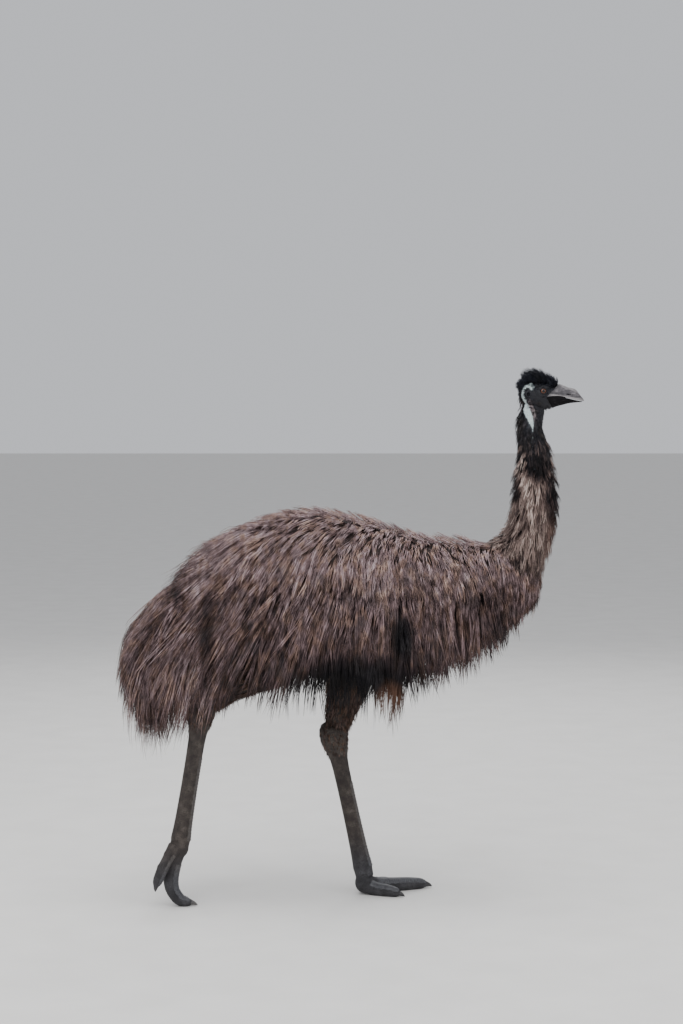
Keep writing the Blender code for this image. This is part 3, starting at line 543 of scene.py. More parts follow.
def billFinish(name, upper):
    finish = Finish(name, 0.42, 0.28 if upper else 0.05)
    along = finish.axis("X")
    height = finish.axis("Z")
    lines = finish.mottle(55, 5.0, (1, 1, 4))
    wearAndHighlight = finish.mottle(140, 4.0)
    rim = finish.ease(height - (1.47 - 0.155 * (along - 0.564)), 0.0055, 0.001)
    if upper:
        base = finish.ramp(lines * 0.6 + wearAndHighlight * 0.4, [
            (0.36, 0.03, 0.028, 0.031), (0.5, 0.082, 0.076, 0.082), (0.66, 0.19, 0.178, 0.187)])
        colour = finish.blend(0.7 * rim, base, (0.33, 0.31, 0.31))
        # painted highlight along the ridge of the upper half
        culmenHighlight = finish.ease(height + 0.42 * (along - 0.6), 1.4945, 1.5)
        colour = finish.blend(0.55 * culmenHighlight, colour, (0.23, 0.215, 0.22))
        # painted shade in the nasal groove by the nostril
        groove = finish.blob(0.618, 1.4745, 0.026, 0.0065, 0.6)
        colour = finish.blend(0.65 * groove, colour, (0.04, 0.037, 0.042))
        tip = finish.ease(along, 0.652, 0.672)
        colour = finish.blend(0.45 * tip, colour, (0.06, 0.055, 0.058))
        root = finish.ease(along - 0.95 * (height - gape.z), 0.578, 0.566)
        colour = finish.blend(0.6 * root, colour, (0.028, 0.026, 0.03))
    else:
        # the lower half's own near-black colour, darkened further as painted shade because it faces down
        colour = finish.ramp(lines, [(0.3, 0.004, 0.004, 0.0045), (0.6, 0.009, 0.008, 0.009),
                                     (0.8, 0.024, 0.022, 0.024)])
        colour = finish.blend(0.35 * finish.ease(along, 0.64, 0.668), colour, (0.05, 0.046, 0.048))
    low, high = (0.38, 0.58) if upper else (0.62, 0.78)
    rough = finish.greys(wearAndHighlight, low, high)
    return finish.paint(colour, rough, lines + wearAndHighlight * 0.4, 0.0009, 0.7)


def eyeFinish():
    # orange-brown iris round a black pupil, wet
    finish = Finish("emuEye", 0.1, 0.3)
    flat = finish.vectors("ABSOLUTE", finish.place)
    away = finish.vectors("DISTANCE", flat, (0.556, 0.037, 1.4795), "Value")
    ring = away * 1000.0 + (finish.mottle(900, 3.0) - 0.5) * 0.8
    colour = finish.ramp(ring / 12.0, [(0.34, 0.002, 0.002, 0.002), (0.38, 0.07, 0.017, 0.005),
                                       (0.52, 0.13, 0.034, 0.008), (0.66, 0.05, 0.013, 0.005),
                                       (0.74, 0.005, 0.004, 0.004)])
    return finish.paint(colour, coat=0.5)


def hornFinish(name, dark, light, scale):
    finish = Finish(name, 0.4, 0.45)
    streak = finish.mottle(scale, 4.0)
    colour = finish.ramp(streak, [(0.3, *dark), (0.75, *light)])
    return finish.paint(colour, finish.greys(streak, 0.3, 0.55), streak, 0.0005, 0.6)


def scuteFinish():
    finish = Finish("emuScutes", 0.5, 0.4)
    height = finish.axis("Z")
    grain = finish.mottle(140, 4.0)
    shank = finish.ramp(grain, [(0.3, 0.034, 0.028, 0.026), (0.7, 0.084, 0.074, 0.068)])
    foot = finish.ramp(grain, [(0.3, 0.028, 0.028, 0.033), (0.7, 0.068, 0.069, 0.076)])
    colour = finish.blend(finish.ease(height, 0.16, 0.07), shank, foot)
    return finish.paint(colour, height=grain, depth=0.0008, strength=0.7)


# Skin

headForms = [  # name, place on the left, radii, then segments and rings where they aren't the usual ones
    ("brow", (0.557, 0.0262, 1.4915), (0.021, 0.0078, 0.0064)),
    ("cheek", (0.546, 0.0225, 1.457), (0.025, 0.0108, 0.012)),
    ("lid", eyeCentre, (0.0146, 0.0143, 0.0146), 40, 24),
    ("earRim", (earCentre.x, 0.029, earCentre.z), (0.0092, 0.0066, 0.0102)),
]
headOpenings = [
    ("socket", eyeCentre, (0.0127, 0.0127, 0.0127), 40, 24),
    ("opening", (eyeCentre.x, eyeCentre.y + 0.014, eyeCentre.z), (0.0098, 0.015, 0.0078), 40, 24),
    ("ear", earCentre, (0.005, 0.0085, 0.0068)),
    ("mouthCorner", (0.559, 0.0335, 1.4622), (0.01, 0.006, 0.0008)),
]
lidRims = [(0.0081, 0.00115, 0.0146), (0.0108, 0.0008, 0.0142)]  # half height, thickness, distance out
skinSettings = {
    "bodyInset": 0.012,      # how far the skin lies inside the core of the coat
    "neckInset": 0.008,
    "throatInset": 0.001,
    "bodyVoxel": 0.0105,
    "headVoxel": 0.00118,
    "throatVoxel": 0.0029,
    "legVoxel": 0.0029,
}


def limited(value, least=-1.0):
    # not over 1
    return max(least, min(1.0, value))


def onMiddle(rows):
    # rows of x, z and two sizes, set in the middle plane
    return [(x, 0, z, first, second) for x, z, first, second in rows]


def inset(rows, depth):
    return [(*row[:-2], max(row[-2] - depth, 0.008), max(row[-1] - depth, 0.008)) for row in rows]


def bodyForms(depth):
    body = onMiddle(smoothRows(inset(bodyRows, depth), 40))
    tail = onMiddle(smoothRows(inset(tailRows, depth * 0.6), 16))
    return [loft("body", "X", body, 40), limbThrough("tail", tail)]


def limbThrough(name, rows, sides=24):
    # rings square to a bending line in the middle plane, bridged into a tube
    points = np.array(rows, float)
    ahead = np.gradient(points[:, :3], axis=0)
    ahead /= np.linalg.norm(ahead, axis=1)[:, None]
    across = np.array([0.0, 1.0, 0.0])
    deep = np.cross(across, ahead)
    turn = np.arange(sides) * math.tau / sides
    rings = (points[:, None, :3] + deep[:, None] * (points[:, 3, None] * np.cos(turn))[..., None]
             + across * (points[:, 4, None] * np.sin(turn))[..., None])
    return ringMesh(name, rings)


def ringMesh(name, rings):
    # triangles between rings, the ends closed with fans
    count, sides = rings.shape[:2]
    points = np.concatenate([rings.reshape(-1, 3), rings[[0, -1]].mean(1)])
    side = np.arange(sides)
    after = (side + 1) % sides
    base = np.arange(count - 1)[:, None] * sides
    low, high = base + side, base + after
    end, middle = (count - 1) * sides, np.full(sides, count * sides)
    corners = [(low, high, high + sides), (low, high + sides, low + sides), (middle, after, side),
               (middle + 1, end + side, end + after)]
    faces = np.concatenate([np.stack(three, -1).reshape(-1, 3) for three in corners])
    return tidySkin(meshFrom(name, points, faces))


def sideBalls(rows, side):
    return [ball(name, (x, side * y, z), radii, *detail) for name, (x, y, z), radii, *detail in rows]


def makeHead():
    pieces = [loft("skull", "X", onMiddle(smoothRows(skullRows, 30)), 40)]
    for side in (-1, 1):
        pieces += sideBalls(headForms, side)
    pieces.append(ball("forehead", (0.586, 0, 1.4855), (0.027, 0.02, 0.0135)))
    head = fuse(pieces, "skin", skinSettings["headVoxel"], 7)
    rims, tools = [], []
    for side in (-1, 1):
        x, y, z = eyeCentre.x, side * eyeCentre.y, eyeCentre.z
        tools += sideBalls(headOpenings, side)
        for tall, thick, out in lidRims:
            line = []
            for turn in np.arange(40) * math.tau / 40:
                across, up = (0.0101 + (tall - 0.0081) * 0.9) * math.cos(turn), tall * math.sin(turn)
                aside = math.sqrt(out ** 2 - across ** 2 - up ** 2)
                line.append((x + across, y + side * aside, z + up, thick))
            rims.append(curveTube("lidRim", line, 3, True))
    carve(head, tools, "DIFFERENCE")
    return carve(head, [tidySkin(rim) for rim in rims], "UNION")


def makeThroat():
    rows = onMiddle(smoothRows(inset(throatRows, skinSettings["throatInset"]), 26))
    jaw = ball("jaw", (0.556, 0, 1.447), (0.03, 0.021, 0.017))
    return fuse([limbThrough("throat", rows, 32), jaw], "throat", skinSettings["throatVoxel"], 4)


ankleRows = [(0.0, 0.0205, 0.0165), (0.35, 0.0256, 0.0215), (0.62, 0.028, 0.0242), (1.0, 0.0262, 0.025)]


def makeLeg(side):
    hock, toes = Vector(legJoints[side]["hock"]), Vector(legJoints[side]["toes"])
    upLeg = (hock - toes).normalized()
    knuckle = toes + (Vector((-0.002, 0, -0.016)) if side == "L" else upLeg * 0.004)
    heel = hock - (toes - hock).normalized() * 0.01 + Vector((-0.02, 0, 0))
    pieces = [
        limb("shank", hock, toes, smoothRows(shankRows, 26), 32),
        ball("knuckle", knuckle, (0.0275, 0.027, 0.031)),
        limb("ankle", toes + upLeg * 0.075, toes, ankleRows),
        ball("heelOfHock", heel, (0.022, 0.02, 0.034)),
    ]
    for points in toePoints[side].values():
        rows = smoothRows(points, 20)
        pieces.append(curveTube("toe", [(x, y, z, half * 0.955) for x, y, z, half in rows], 5))
        pieces.append(ball("toeEnd", rows[-1][:3], (rows[-1][3] * 0.95,) * 3, 16, 10))
        path = np.array(points)
        for before, after in zip(path[:-2], path[1:-1]):
            middle = after[:3] * 0.75 + before[:3] * 0.25
            dorsal = np.array(dorsalOf(Vector(after[:3] - before[:3]).normalized()))
            pieces.append(ball("pad", middle - dorsal * after[3] * 0.16, (after[3] * 0.93,) * 3, 16, 10))
    return fuse(pieces, "leg" + side, skinSettings["legVoxel"], 3)


def dorsalOf(ahead):
    # square to a toe or a shank, away from its sole
    dorsal = Vector((-ahead.z, 0, ahead.x))
    return (dorsal - ahead * ahead.dot(dorsal)).normalized()


def thighOf(side, depth, count):
    # the trailing drumstick is slimmer near its hock
    most = 0.3 if side == "R" else 0.0
    rows = [(share, 1 - most * limited((share - 0.3) / 0.4, 0.0), deep, wide)
            for share, deep, wide in smoothRows(thighRows, count)]
    return [(share, deep * slim - depth, wide * slim - depth) for share, slim, deep, wide in rows]


def pointsOf(piece):
    points = np.empty(len(piece.data.vertices) * 3, np.float32)
    piece.data.vertices.foreach_get("co", points)
    return points.reshape(-1, 3)


def flattenSoles(piece):
    # soft pads spread flat on the floor
    points = pointsOf(piece)
    high, least, deepest = 0.0008, 0.0002, -0.004
    low = points[:, 2] < high
    share = np.clip((points[low, 2] - deepest) / (high - deepest), 0, 1)
    points[low, 2] = least + (high - least) * share
    piece.data.vertices.foreach_set("co", points.ravel())
    piece.data.update()


def makeSkin():
    trunk = bodyForms(skinSettings["bodyInset"])
    neck = onMiddle(smoothRows(inset(neckRows, skinSettings["neckInset"]), 24))
    trunk.append(limbThrough("neck", neck, 28))
    for side in "LR":
        joints = legJoints[side]
        trunk.append(limb("thigh" + side, joints["knee"], joints["hock"], thighOf(side, 0.004, 16), 24))
    trunk = fuse(trunk, "trunk", skinSettings["bodyVoxel"], 3)
    print("emu: trunk", len(trunk.data.polygons))
    skin = makeHead()
    print("emu: head", len(skin.data.polygons))
    parts = [trunk, makeThroat()] + [makeLeg(side) for side in "LR"]
    carve(skin, parts, "UNION")
    flattenSoles(skin)
    shadeSmooth(skin)
    dress(skin, skinFinish(), "pale_blue_skin", "torso", "tail", "neck_lower", "neck_upper", "head",
          "drumstick_L", "drumstick_R", "shank_L", "shank_R", "foot_L", "foot_R")
    print("emu: skin", len(skin.data.polygons), "faces")
    return skin


# Bill

billSettings = {
    "arc": 20,            # points round each half
    "proud": 0.0008,      # how far the horn stands out of the skin
    "gap": 0.0004,
    "nostril": (0.0078, 0.005, 0.0024),
}
upperRows = [  # x, height of the cutting edge, height of the ridge, half width, sharpness of the ridge
    (0.562, 1.4625, 1.512, 0.034, 1.0), (0.578, 1.4645, 1.504, 0.0298, 1.0),
    (0.59, 1.465, 1.5012, 0.0264, 1.05), (0.6055, 1.4648, 1.4986, 0.0232, 1.2),
    (0.618, 1.462, 1.4945, 0.0198, 1.4), (0.6296, 1.4588, 1.4894, 0.0168, 1.5),
    (0.64, 1.456, 1.4872, 0.015, 1.4), (0.648, 1.4545, 1.4852, 0.0136, 1.25),
    (0.655, 1.4535, 1.4795, 0.012, 1.1), (0.661, 1.4525, 1.472, 0.01, 1.0),
    (0.668, 1.4512, 1.463, 0.0075, 1.0), (0.673, 1.4503, 1.457, 0.005, 1.0),
    (0.6757, 1.4495, 1.4528, 0.0022, 1.0),
]
lowerRows = [  # the same, with the lowest point for the ridge
    (0.566, 1.4615, 1.429, 0.0325, 1.0), (0.578, 1.464, 1.43, 0.029, 1.0),
    (0.59, 1.4645, 1.4335, 0.0256, 0.95), (0.6, 1.4645, 1.4368, 0.0236, 0.9),
    (0.614, 1.462, 1.4402, 0.0198, 0.9), (0.628, 1.4585, 1.444, 0.0162, 0.9),
    (0.64, 1.4555, 1.446, 0.0137, 0.9), (0.655, 1.4525, 1.4475, 0.0105, 0.9),
    (0.665, 1.4508, 1.4484, 0.0068, 0.9), (0.671, 1.45, 1.4488, 0.0034, 0.9),
]


def billHalf(name, rows, away):
    # away is 1 for the upper half, -1 for the lower
    count = billSettings["arc"]
    turn = np.linspace(0, math.pi, count)
    inner = np.linspace(0.86, -0.86, 7)
    rings = []
    for x, edge, far, half, sharp in smoothRows(rows, 44):
        reach = far - edge
        half += billSettings["proud"]
        lip = edge + away * billSettings["gap"]
        outer = np.stack([np.full(count, x), half * np.cos(turn),
                          lip + (reach + away * billSettings["proud"]) * np.sin(turn) ** sharp], -1)
        roof = lip + 0.2 * reach * (1 - (inner / 0.95) ** 2)
        rings.append(np.concatenate([outer, np.stack([np.full(7, x), -half * inner, roof], -1)]))
    piece = ringMesh(name, np.array(rings))
    edgeWay = (billTopEdge if away > 0 else billLowerEdge) - gape
    cutNormal = Vector((edgeWay.z, 0, -edgeWay.x)) * away

    def cut():
        bpy.ops.mesh.bisect(plane_co=gape, plane_no=cutNormal, use_fill=True, clear_inner=True)

    return onAllFaces(piece, cut)


def makeBill():
    upper = billHalf("billUpper", upperRows, 1)
    nostrils = []
    for side in (-1, 1):
        hole = ball("nostril", (0, 0, 0), billSettings["nostril"])
        hole.matrix_world = Matrix.Translation((0.63, side * 0.015, 1.469)) @ Matrix.Rotation(0.18, 4, "Y")
        nostrils.append(placeInMesh(hole))
    carve(upper, nostrils, "DIFFERENCE")
    lower = billHalf("billLower", lowerRows, -1)
    for piece, node, isUpper in ((upper, "bill_upper", True), (lower, "bill_lower", False)):
        bevel = piece.modifiers.new("rim", "BEVEL")
        bevel.width = 0.0005
        bevel.segments = 2
        bevel.angle_limit = math.radians(50)
        applyModifiers(piece)
        shadeSmooth(piece, 50)
        dress(piece, billFinish("emu" + piece.name, isUpper), "grey_bill", node)
    print("emu: bill")


# Eyes

def makeEyes():
    finish = eyeFinish()
    for side, letter in ((-1, "R"), (1, "L")):
        eye = ball("eye" + letter, (eyeCentre.x, side * eyeCentre.y, eyeCentre.z), (0.0125,) * 3, 48, 32)
        shadeSmooth(eye)
        dress(eye, finish, "brown_eye", "eye_" + letter)
    print("emu: eyes")


# Claws and scutes

clawSettings = {
    "length": {"inner": 0.019, "middle": 0.023, "outer": 0.019},
    "drop": 0.3,
    "shares": [(-0.45, 0.8), (0.05, 1.0), (0.4, 0.82), (0.72, 0.52), (0.93, 0.22), (0.99, 0.08)],
}
scuteSettings = {
    "pitch": 0.0062, "shankPitch": 0.0088, "thick": 0.001, "across": 9,
    "profile": [(0.02, 0.0002), (0.55, 0.0011), (0.9, 0.001265), (1.04, 0.0001)],  # share, rise
}


def makeClaws():
    finish = hornFinish("emuClaws", (0.01, 0.01, 0.012), (0.048, 0.045, 0.046), 120)
    # painted highlight: paler horn for the right middle claw, standing in for a highlight on it
    highlightedHorn = hornFinish("emuHighlightedClaw", (0.028, 0.026, 0.027), (0.115, 0.108, 0.104), 90)
    for side in "LR":
        for toe, rows in toePoints[side].items():
            length = clawSettings["length"][toe]
            end, before = Vector(rows[-1][:3]), Vector(rows[-2][:3])
            heading = (end - before).normalized()
            half = rows[-1][3] * 0.78
            points = []
            for share, thick in clawSettings["shares"]:
                bend = max(0.0, share) ** 2
                spot = end + heading * length * share
                spot += Vector((0, 0, -1)) * clawSettings["drop"] * length * bend * (1 - abs(heading.z))
                spot += Vector((0.18 * length * bend * abs(heading.z), 0, 0))
                radius = half * thick
                spot.z = max(spot.z, radius * 0.96 + 0.0004)
                points.append((*spot, radius))
            claw = curveTube(f"claw{side}{toe.capitalize()}", smoothRows(points, 14), 5)
            shadeSmooth(tidySkin(claw), 60)
            # painted highlight on the right middle claw
            wearAndHighlight = (side, toe) == ("R", "middle")
            dress(claw, highlightedHorn if wearAndHighlight else finish, "dark_claw", f"claw_{side}_{toe}")
    print("emu: claws")


def scuteRow(path, pitch, reach):
    # plates across the top of a toe or the front of a shank; path rows are x, y, z, depth, width
    settings = scuteSettings
    path = np.array(path, float)
    length = np.concatenate([[0], np.cumsum(np.linalg.norm(np.diff(path[:, :3], axis=0), axis=1))])
    count = max(2, int(length[-1] / pitch))
    plates = []
    for k in range(count):
        spread = reach * (1.0 + 0.05 * math.sin(k * 2.3))
        rings = []
        for share, rise in settings["profile"]:
            far = (k + share) * length[-1] / count
            at, near, back = [np.array([np.interp(far + shift, length, column) for column in path.T])
                              for shift in (0.0, 0.002, -0.002)]
            ahead = Vector((near - back)[:3]).normalized()
            dorsal = dorsalOf(ahead)
            side = ahead.cross(dorsal)
            centre = Vector(at[:3])
            outer, under = [], []
            for turn in np.linspace(-spread, spread, settings["across"]):
                fade = 1.0 - 0.7 * abs(turn / spread) ** 4
                way = dorsal * math.cos(turn) * at[3] + side * math.sin(turn) * at[4]
                outward = way.normalized()
                outer.append(centre + way + outward * rise * fade)
                under.append(centre + way - outward * settings["thick"])
            rings.append(outer + under[::-1])
        plates.append(ringMesh("plate", np.array([[list(p) for p in ring] for ring in rings])))
    return plates


def makeScutes():
    plates = []
    for side in "LR":
        for rows in toePoints[side].values():
            path = [(x, y, z, half * 0.955, half * 0.955) for x, y, z, half in smoothRows(rows, 20)[3:]]
            plates += scuteRow(path, scuteSettings["pitch"], 1.15)
        hock, toes = Vector(legJoints[side]["hock"]), Vector(legJoints[side]["toes"])
        rows = smoothRows(shankRows, 26)
        path = [(*hock.lerp(toes, share), deep, wide) for share, deep, wide in rows if share > 0.3]
        plates += scuteRow(path, scuteSettings["shankPitch"], 0.8)
    scutes = joinPieces(plates, "scutes")
    flattenSoles(scutes)
    shadeSmooth(scutes, 45)
    dress(scutes, scuteFinish(), "slate_scales")
    print("emu: scutes", len(plates), "plates,", len(scutes.data.polygons), "faces")


# Coat: locks are laid over the form of the body, and each is filled with fine strands

def triangleTable(piece):
    # the corners of each triangle, in the same order each run, though Blender may keep the faces in another
    piece.data.calc_loop_triangles()
    faces = np.empty(len(piece.data.loop_triangles) * 3, np.int32)
    piece.data.loop_triangles.foreach_get("vertices", faces)
    corners = pointsOf(piece).astype(float)[faces.reshape(-1, 3)]
    return corners[np.lexsort(np.round(corners.mean(1), 7).T)]


def surfaceTree(piece):
    faces = sorted(list(face.vertices) for face in piece.data.polygons)
    return BVHTree.FromPolygons([v.co.copy() for v in piece.data.vertices], faces)


def scatter(corners, weightOf, count, seed):
    # even places over the part of a surface where the weight is above 0
    rng = np.random.default_rng(seed)
    sides = corners[:, 1:] - corners[:, :1]
    area = np.linalg.norm(np.cross(sides[:, 0], sides[:, 1]), axis=1) / 2
    weight = area * np.clip(weightOf(corners.mean(1)).astype(float), 0, None)
    tries = count * 5
    chosen = corners[rng.choice(len(corners), tries, p=weight / weight.sum())]
    share = rng.random((2, tries))
    share = np.where(share.sum(0) > 1, 1 - share, share)[..., None]
    first, second, third = chosen.swapaxes(0, 1)
    spots = first + (second - first) * share[0] + (third - first) * share[1]
    cell = math.sqrt(1.1 * area[weight > 0].sum() / count)
    most = 4001  # more than the cells along any axis
    keys = np.floor(spots / cell).astype(np.int64) @ (most * most, most, 1)
    order = np.argsort(keys, kind="stable")
    starts = np.diff(keys[order], prepend=keys.min() - 1) != 0
    place = np.arange(tries)
    rank = np.zeros(tries, int)
    rank[order] = place - np.maximum.accumulate(np.where(starts, place, 0))
    return spots[np.argsort(rank + rng.random(tries) * 0.9, kind="stable")[:count]]


def blurNoise(points, scale, seed):
    # a smooth random value for each point
    offset = Vector((seed * 3.1, seed * 1.7, 5.0))
    return np.array([noise.noise(Vector(p) * scale + offset) for p in points])


def layLocks(surface, roots, lie, lengths, rises, sink, hems, wander=0.14, steps=10):
    # each lock follows the surface at a growing height, then hangs free where the surface turns away
    paths = np.empty((len(roots), steps + 1, 3))
    outs = np.empty_like(paths)
    rng = np.random.default_rng(len(roots))
    for k, (root, length, rise) in enumerate(zip(roots, lengths, rises)):
        spot, normal = surface.find_nearest(Vector(root))[:2]
        point, out = spot.copy(), normal.copy()
        drift = noise.noise_vector(spot * 7.0) * wander + noise.noise_vector(spot * 31.0) * wander * 0.8
        drift += Vector(rng.normal(0, wander * 0.6, 3))
        line, ways = [], []
        held = True
        heading = None
        for step in range(steps + 1):
            share = step / steps
            height = -sink + (sink + rise) * min(1.0, share * 1.25) ** 0.8
            line.append(point + out * height if held else point.copy())
            ways.append(out.copy())
            if hems is not None and step > 2 and line[-1].z < hemAt(line[-1].x) + hems[k]:
                break
            pull = lie(point) + drift
            pressing = pull.dot(out)
            if held and pressing < 0.12:
                flat = (pull - out * pressing).normalized()
                point, normal = surface.find_nearest(point + flat * length / steps)[:2]
                out = (out + normal).normalized()
            else:
                if held:
                    heading = (line[-1] - line[-2]).normalized() if step else pull.normalized()
                    point = line[-1].copy()
                    held = False
                heading = (heading + pull.normalized() * 0.55).normalized()
                point = point + heading * length / steps
        have = np.linspace(0, 1, len(line))
        want = np.linspace(0, 1, steps + 1)
        for i in range(3):
            paths[k, :, i] = np.interp(want, have, [p[i] for p in line])
            outs[k, :, i] = np.interp(want, have, [p[i] for p in ways])
    return paths, outs


hemLine = np.array([  # x, height
    (-0.68, 0.64), (-0.66, 0.575), (-0.64, 0.525), (-0.6, 0.47), (-0.55, 0.452), (-0.49, 0.476),
    (-0.43, 0.515), (-0.385, 0.56), (-0.3, 0.572), (-0.1, 0.576), (0.0, 0.574), (0.05, 0.566),
    (0.085, 0.545), (0.12, 0.535), (0.15, 0.562), (0.18, 0.596), (0.2, 0.608), (0.25, 0.628), (0.32, 0.652),
    (0.39, 0.688), (0.43, 0.726), (0.49, 0.786), (0.54, 0.85), (0.56, 0.895),
])


def hemAt(x):
    # height of the lower edge of the coat
    return float(np.interp(x, *hemLine.T))


bodyAxis = 0.89  # height of the line that the turn round the body is read from
mapSettings = {"grid": 330, "patch": 0.003, "tries": 60}
coatLimits = {"side": 0.195, "sideHold": 0.7, "rear": -0.655, "rearHold": 0.6}


def freeCells(wanted, seed):
    # each patch of the map gets a cell of its own, as near as can be to its place
    rng = np.random.default_rng(seed)
    grid = mapSettings["grid"]
    taken = set()
    cells = np.clip((wanted * grid).astype(int), 0, grid - 1)
    steps = rng.integers(-1, 2, (len(cells), mapSettings["tries"], 2))
    for k in range(len(cells)):
        i, j = cells[k]
        for di, dj in steps[k]:
            if (i, j) not in taken:
                break
            i, j = min(max(i + di * 2, 0), grid - 1), min(max(j + dj * 2, 0), grid - 1)
        taken.add((i, j))
        cells[k] = i, j
    return cells / grid


def heldIn(spine):
    # stray tips drawn back towards the form at the sides and the rear
    stray = np.clip(np.abs(spine[..., 1]) - coatLimits["side"], 0, None)
    spine[..., 1] -= coatLimits["sideHold"] * np.sign(spine[..., 1]) * stray
    spine[..., 0] += coatLimits["rearHold"] * np.clip(coatLimits["rear"] - spine[..., 0], 0, None)
    return spine


def bladeFaces(rings):
    # triangles of one strand: a closed base, three sides between the rings, and the tip
    faces = [(0, 1, 2)]
    for start in range(0, rings * 3, 3):
        for here, after in ((start, start + 1), (start + 1, start + 2), (start + 2, start)):
            if start == (rings - 1) * 3:
                faces.append((here, start + 3, after))
            else:
                faces += [(here, here + 3, after + 3), (here, after + 3, after)]
    return np.array(faces)[:, ::-1]


def mapForBaking(mesh, faces, roots, settings, rings, seed):
    # a small patch of the map for each strand, placed by its turn round the body or round the neck
    x, y, z = roots.T
    if settings["unwrap"] == "X":
        flat = np.stack([x, np.arctan2(y, z - bodyAxis)], 1)
    else:
        middle = np.interp(z, [0.9, 1.02, 1.1, 1.5], [0.42, 0.5, 0.53, 0.53])
        flat = np.stack([np.arctan2(y, x - middle), z], 1)
    low, high = flat.min(0), flat.max(0)
    origin = freeCells(0.002 + 0.994 * (flat - low) / (high - low + 1e-9), seed)
    across = np.tile([0.1, 0.5, 0.9], rings).tolist() + [0.5]
    along = np.repeat(np.array(settings["rings"]) * 0.8 + 0.1, 3).tolist() + [0.9]
    corners = (origin[:, None] + np.stack([across, along], 1) * mapSettings["patch"]).reshape(-1, 2)
    bakeMap = mesh.uv_layers.new(name="OFBake")
    bakeMap.data.foreach_set("uv", corners[faces.ravel()].astype(np.float32).ravel())


def growStrands(name, paths, outs, settings, seed, tones=None):
    # thin three-sided blades: left, ridge and right at each ring, and a pointed tip
    rng = np.random.default_rng(seed)
    locks, fine = paths.shape[0], paths.shape[1] - 1
    total = locks * settings["each"]
    lock = np.repeat(np.arange(locks), settings["each"])
    ringShares = np.array(settings["rings"] + [1.0])
    rings = len(ringShares) - 1
    start = rng.uniform(0, settings["late"], total)
    end = 1 - rng.uniform(0, settings["short"], total) ** 1.5
    share = start[:, None] + (end - start)[:, None] * ringShares
    at = np.clip(share * fine, 0, fine - 1e-6)
    index = at.astype(int)
    part = (at - index)[..., None]
    spine, out = [rows[lock[:, None], index] * (1 - part) + rows[lock[:, None], index + 1] * part
                  for rows in (paths, outs)]
    ahead = np.gradient(spine, axis=1)
    ahead /= np.linalg.norm(ahead, axis=2)[..., None] + 1e-12
    out -= ahead * (out * ahead).sum(2)[..., None]
    out /= np.linalg.norm(out, axis=2)[..., None] + 1e-12
    side = np.cross(ahead, out)
    lockWidth = settings["lockWidth"] * rng.uniform(0.7, 1.3, locks)[lock]
    rootSide = rng.uniform(-0.5, 0.5, total) * lockWidth
    tipSide = rootSide * settings["gather"] + rng.normal(0, settings["fray"], total)
    rootOut = rng.uniform(-0.5, 0.5, total) * settings["depth"]
    tipOut = rng.normal(0, 0.5, total) * settings["fray"] + rootOut
    curl = rng.normal(0, settings["curl"], (total, 1))
    curl = curl * np.sin(share * math.pi * rng.uniform(0.6, 1.6, (total, 1)))
    lean = rng.normal(0, settings["curl"] * 0.7, (total, 1)) * share ** 2
    across = rootSide[:, None] * (1 - share) + tipSide[:, None] * share + curl
    above = rootOut[:, None] * (1 - share) + tipOut[:, None] * share + lean
    spine = spine + side * across[..., None] + out * above[..., None]
    spine = heldIn(spine)
    roll = rng.uniform(-settings["roll"], settings["roll"], (total, 1, 1))
    face = out * np.cos(roll) + side * np.sin(roll)
    edge = side * np.cos(roll) - out * np.sin(roll)
    width = rng.uniform(*settings["width"], (total, 1)) * np.array(settings["taper"])
    half = (width / 2)[..., None]
    body, face, edge = spine[:, :rings], face[:, :rings] * half, edge[:, :rings] * half
    blades = np.stack([body - edge, body + face * settings["ridge"], body + edge], 2)
    points = np.concatenate([blades.reshape(total, rings * 3, 3), spine[:, rings:]], 1)
    perStrand = rings * 3 + 1
    faces = (bladeFaces(rings) + np.arange(total)[:, None, None] * perStrand).reshape(-1, 3)
    piece = meshFrom(name, points.reshape(-1, 3), faces)
    piece.data.shade_smooth()
    if tones is None:
        tones = rng.random(locks)
    tone = np.clip(tones[lock] + rng.normal(0, settings["toneJitter"], total), 0, 1)
    along = np.concatenate([np.repeat(share[:, :rings], 3, axis=1), share[:, rings:]], 1)
    for title, values in (("tone", np.repeat(tone, perStrand)), ("along", along.ravel())):
        layer = piece.data.attributes.new(title, "FLOAT", "POINT")
        layer.data.foreach_set("value", values.astype(np.float32))
    mapForBaking(piece.data, faces, spine[:, 0], settings, rings, seed)
    return piece


def finishCoat(piece, finish, slotName):
    dress(piece, finish, slotName)
    print("emu:", piece.name, len(piece.data.polygons), "triangles")


def insideRows(points, rows, along, across):
    # well inside the tube that the rows give, where along and across are the axes it runs by and lies across
    x, z, first, second = np.array(rows).T
    course, middle = (x, z) if along == 0 else (z, x)
    at = points[:, along]
    far = ((points[:, across] - np.interp(at, course, middle)) / np.interp(at, course, first)) ** 2
    return far + (points[:, 1] / np.interp(at, course, second)) ** 2 < 0.85


def insideNeck(points):
    return insideRows(points, neckRows, 2, 0) & (points[:, 2] > 0.94) & (points[:, 2] < 1.26)


def insideBody(points):
    return insideRows(points, bodyRows, 0, 2) & (points[:, 0] < 0.55)


def turnOf(points):
    # degrees round the body from straight up
    return np.degrees(np.abs(np.arctan2(points[:, 1], points[:, 2] - bodyAxis)))


def easeBetween(value, low, high):
    return np.clip((value - low) / (high - low), 0, 1)


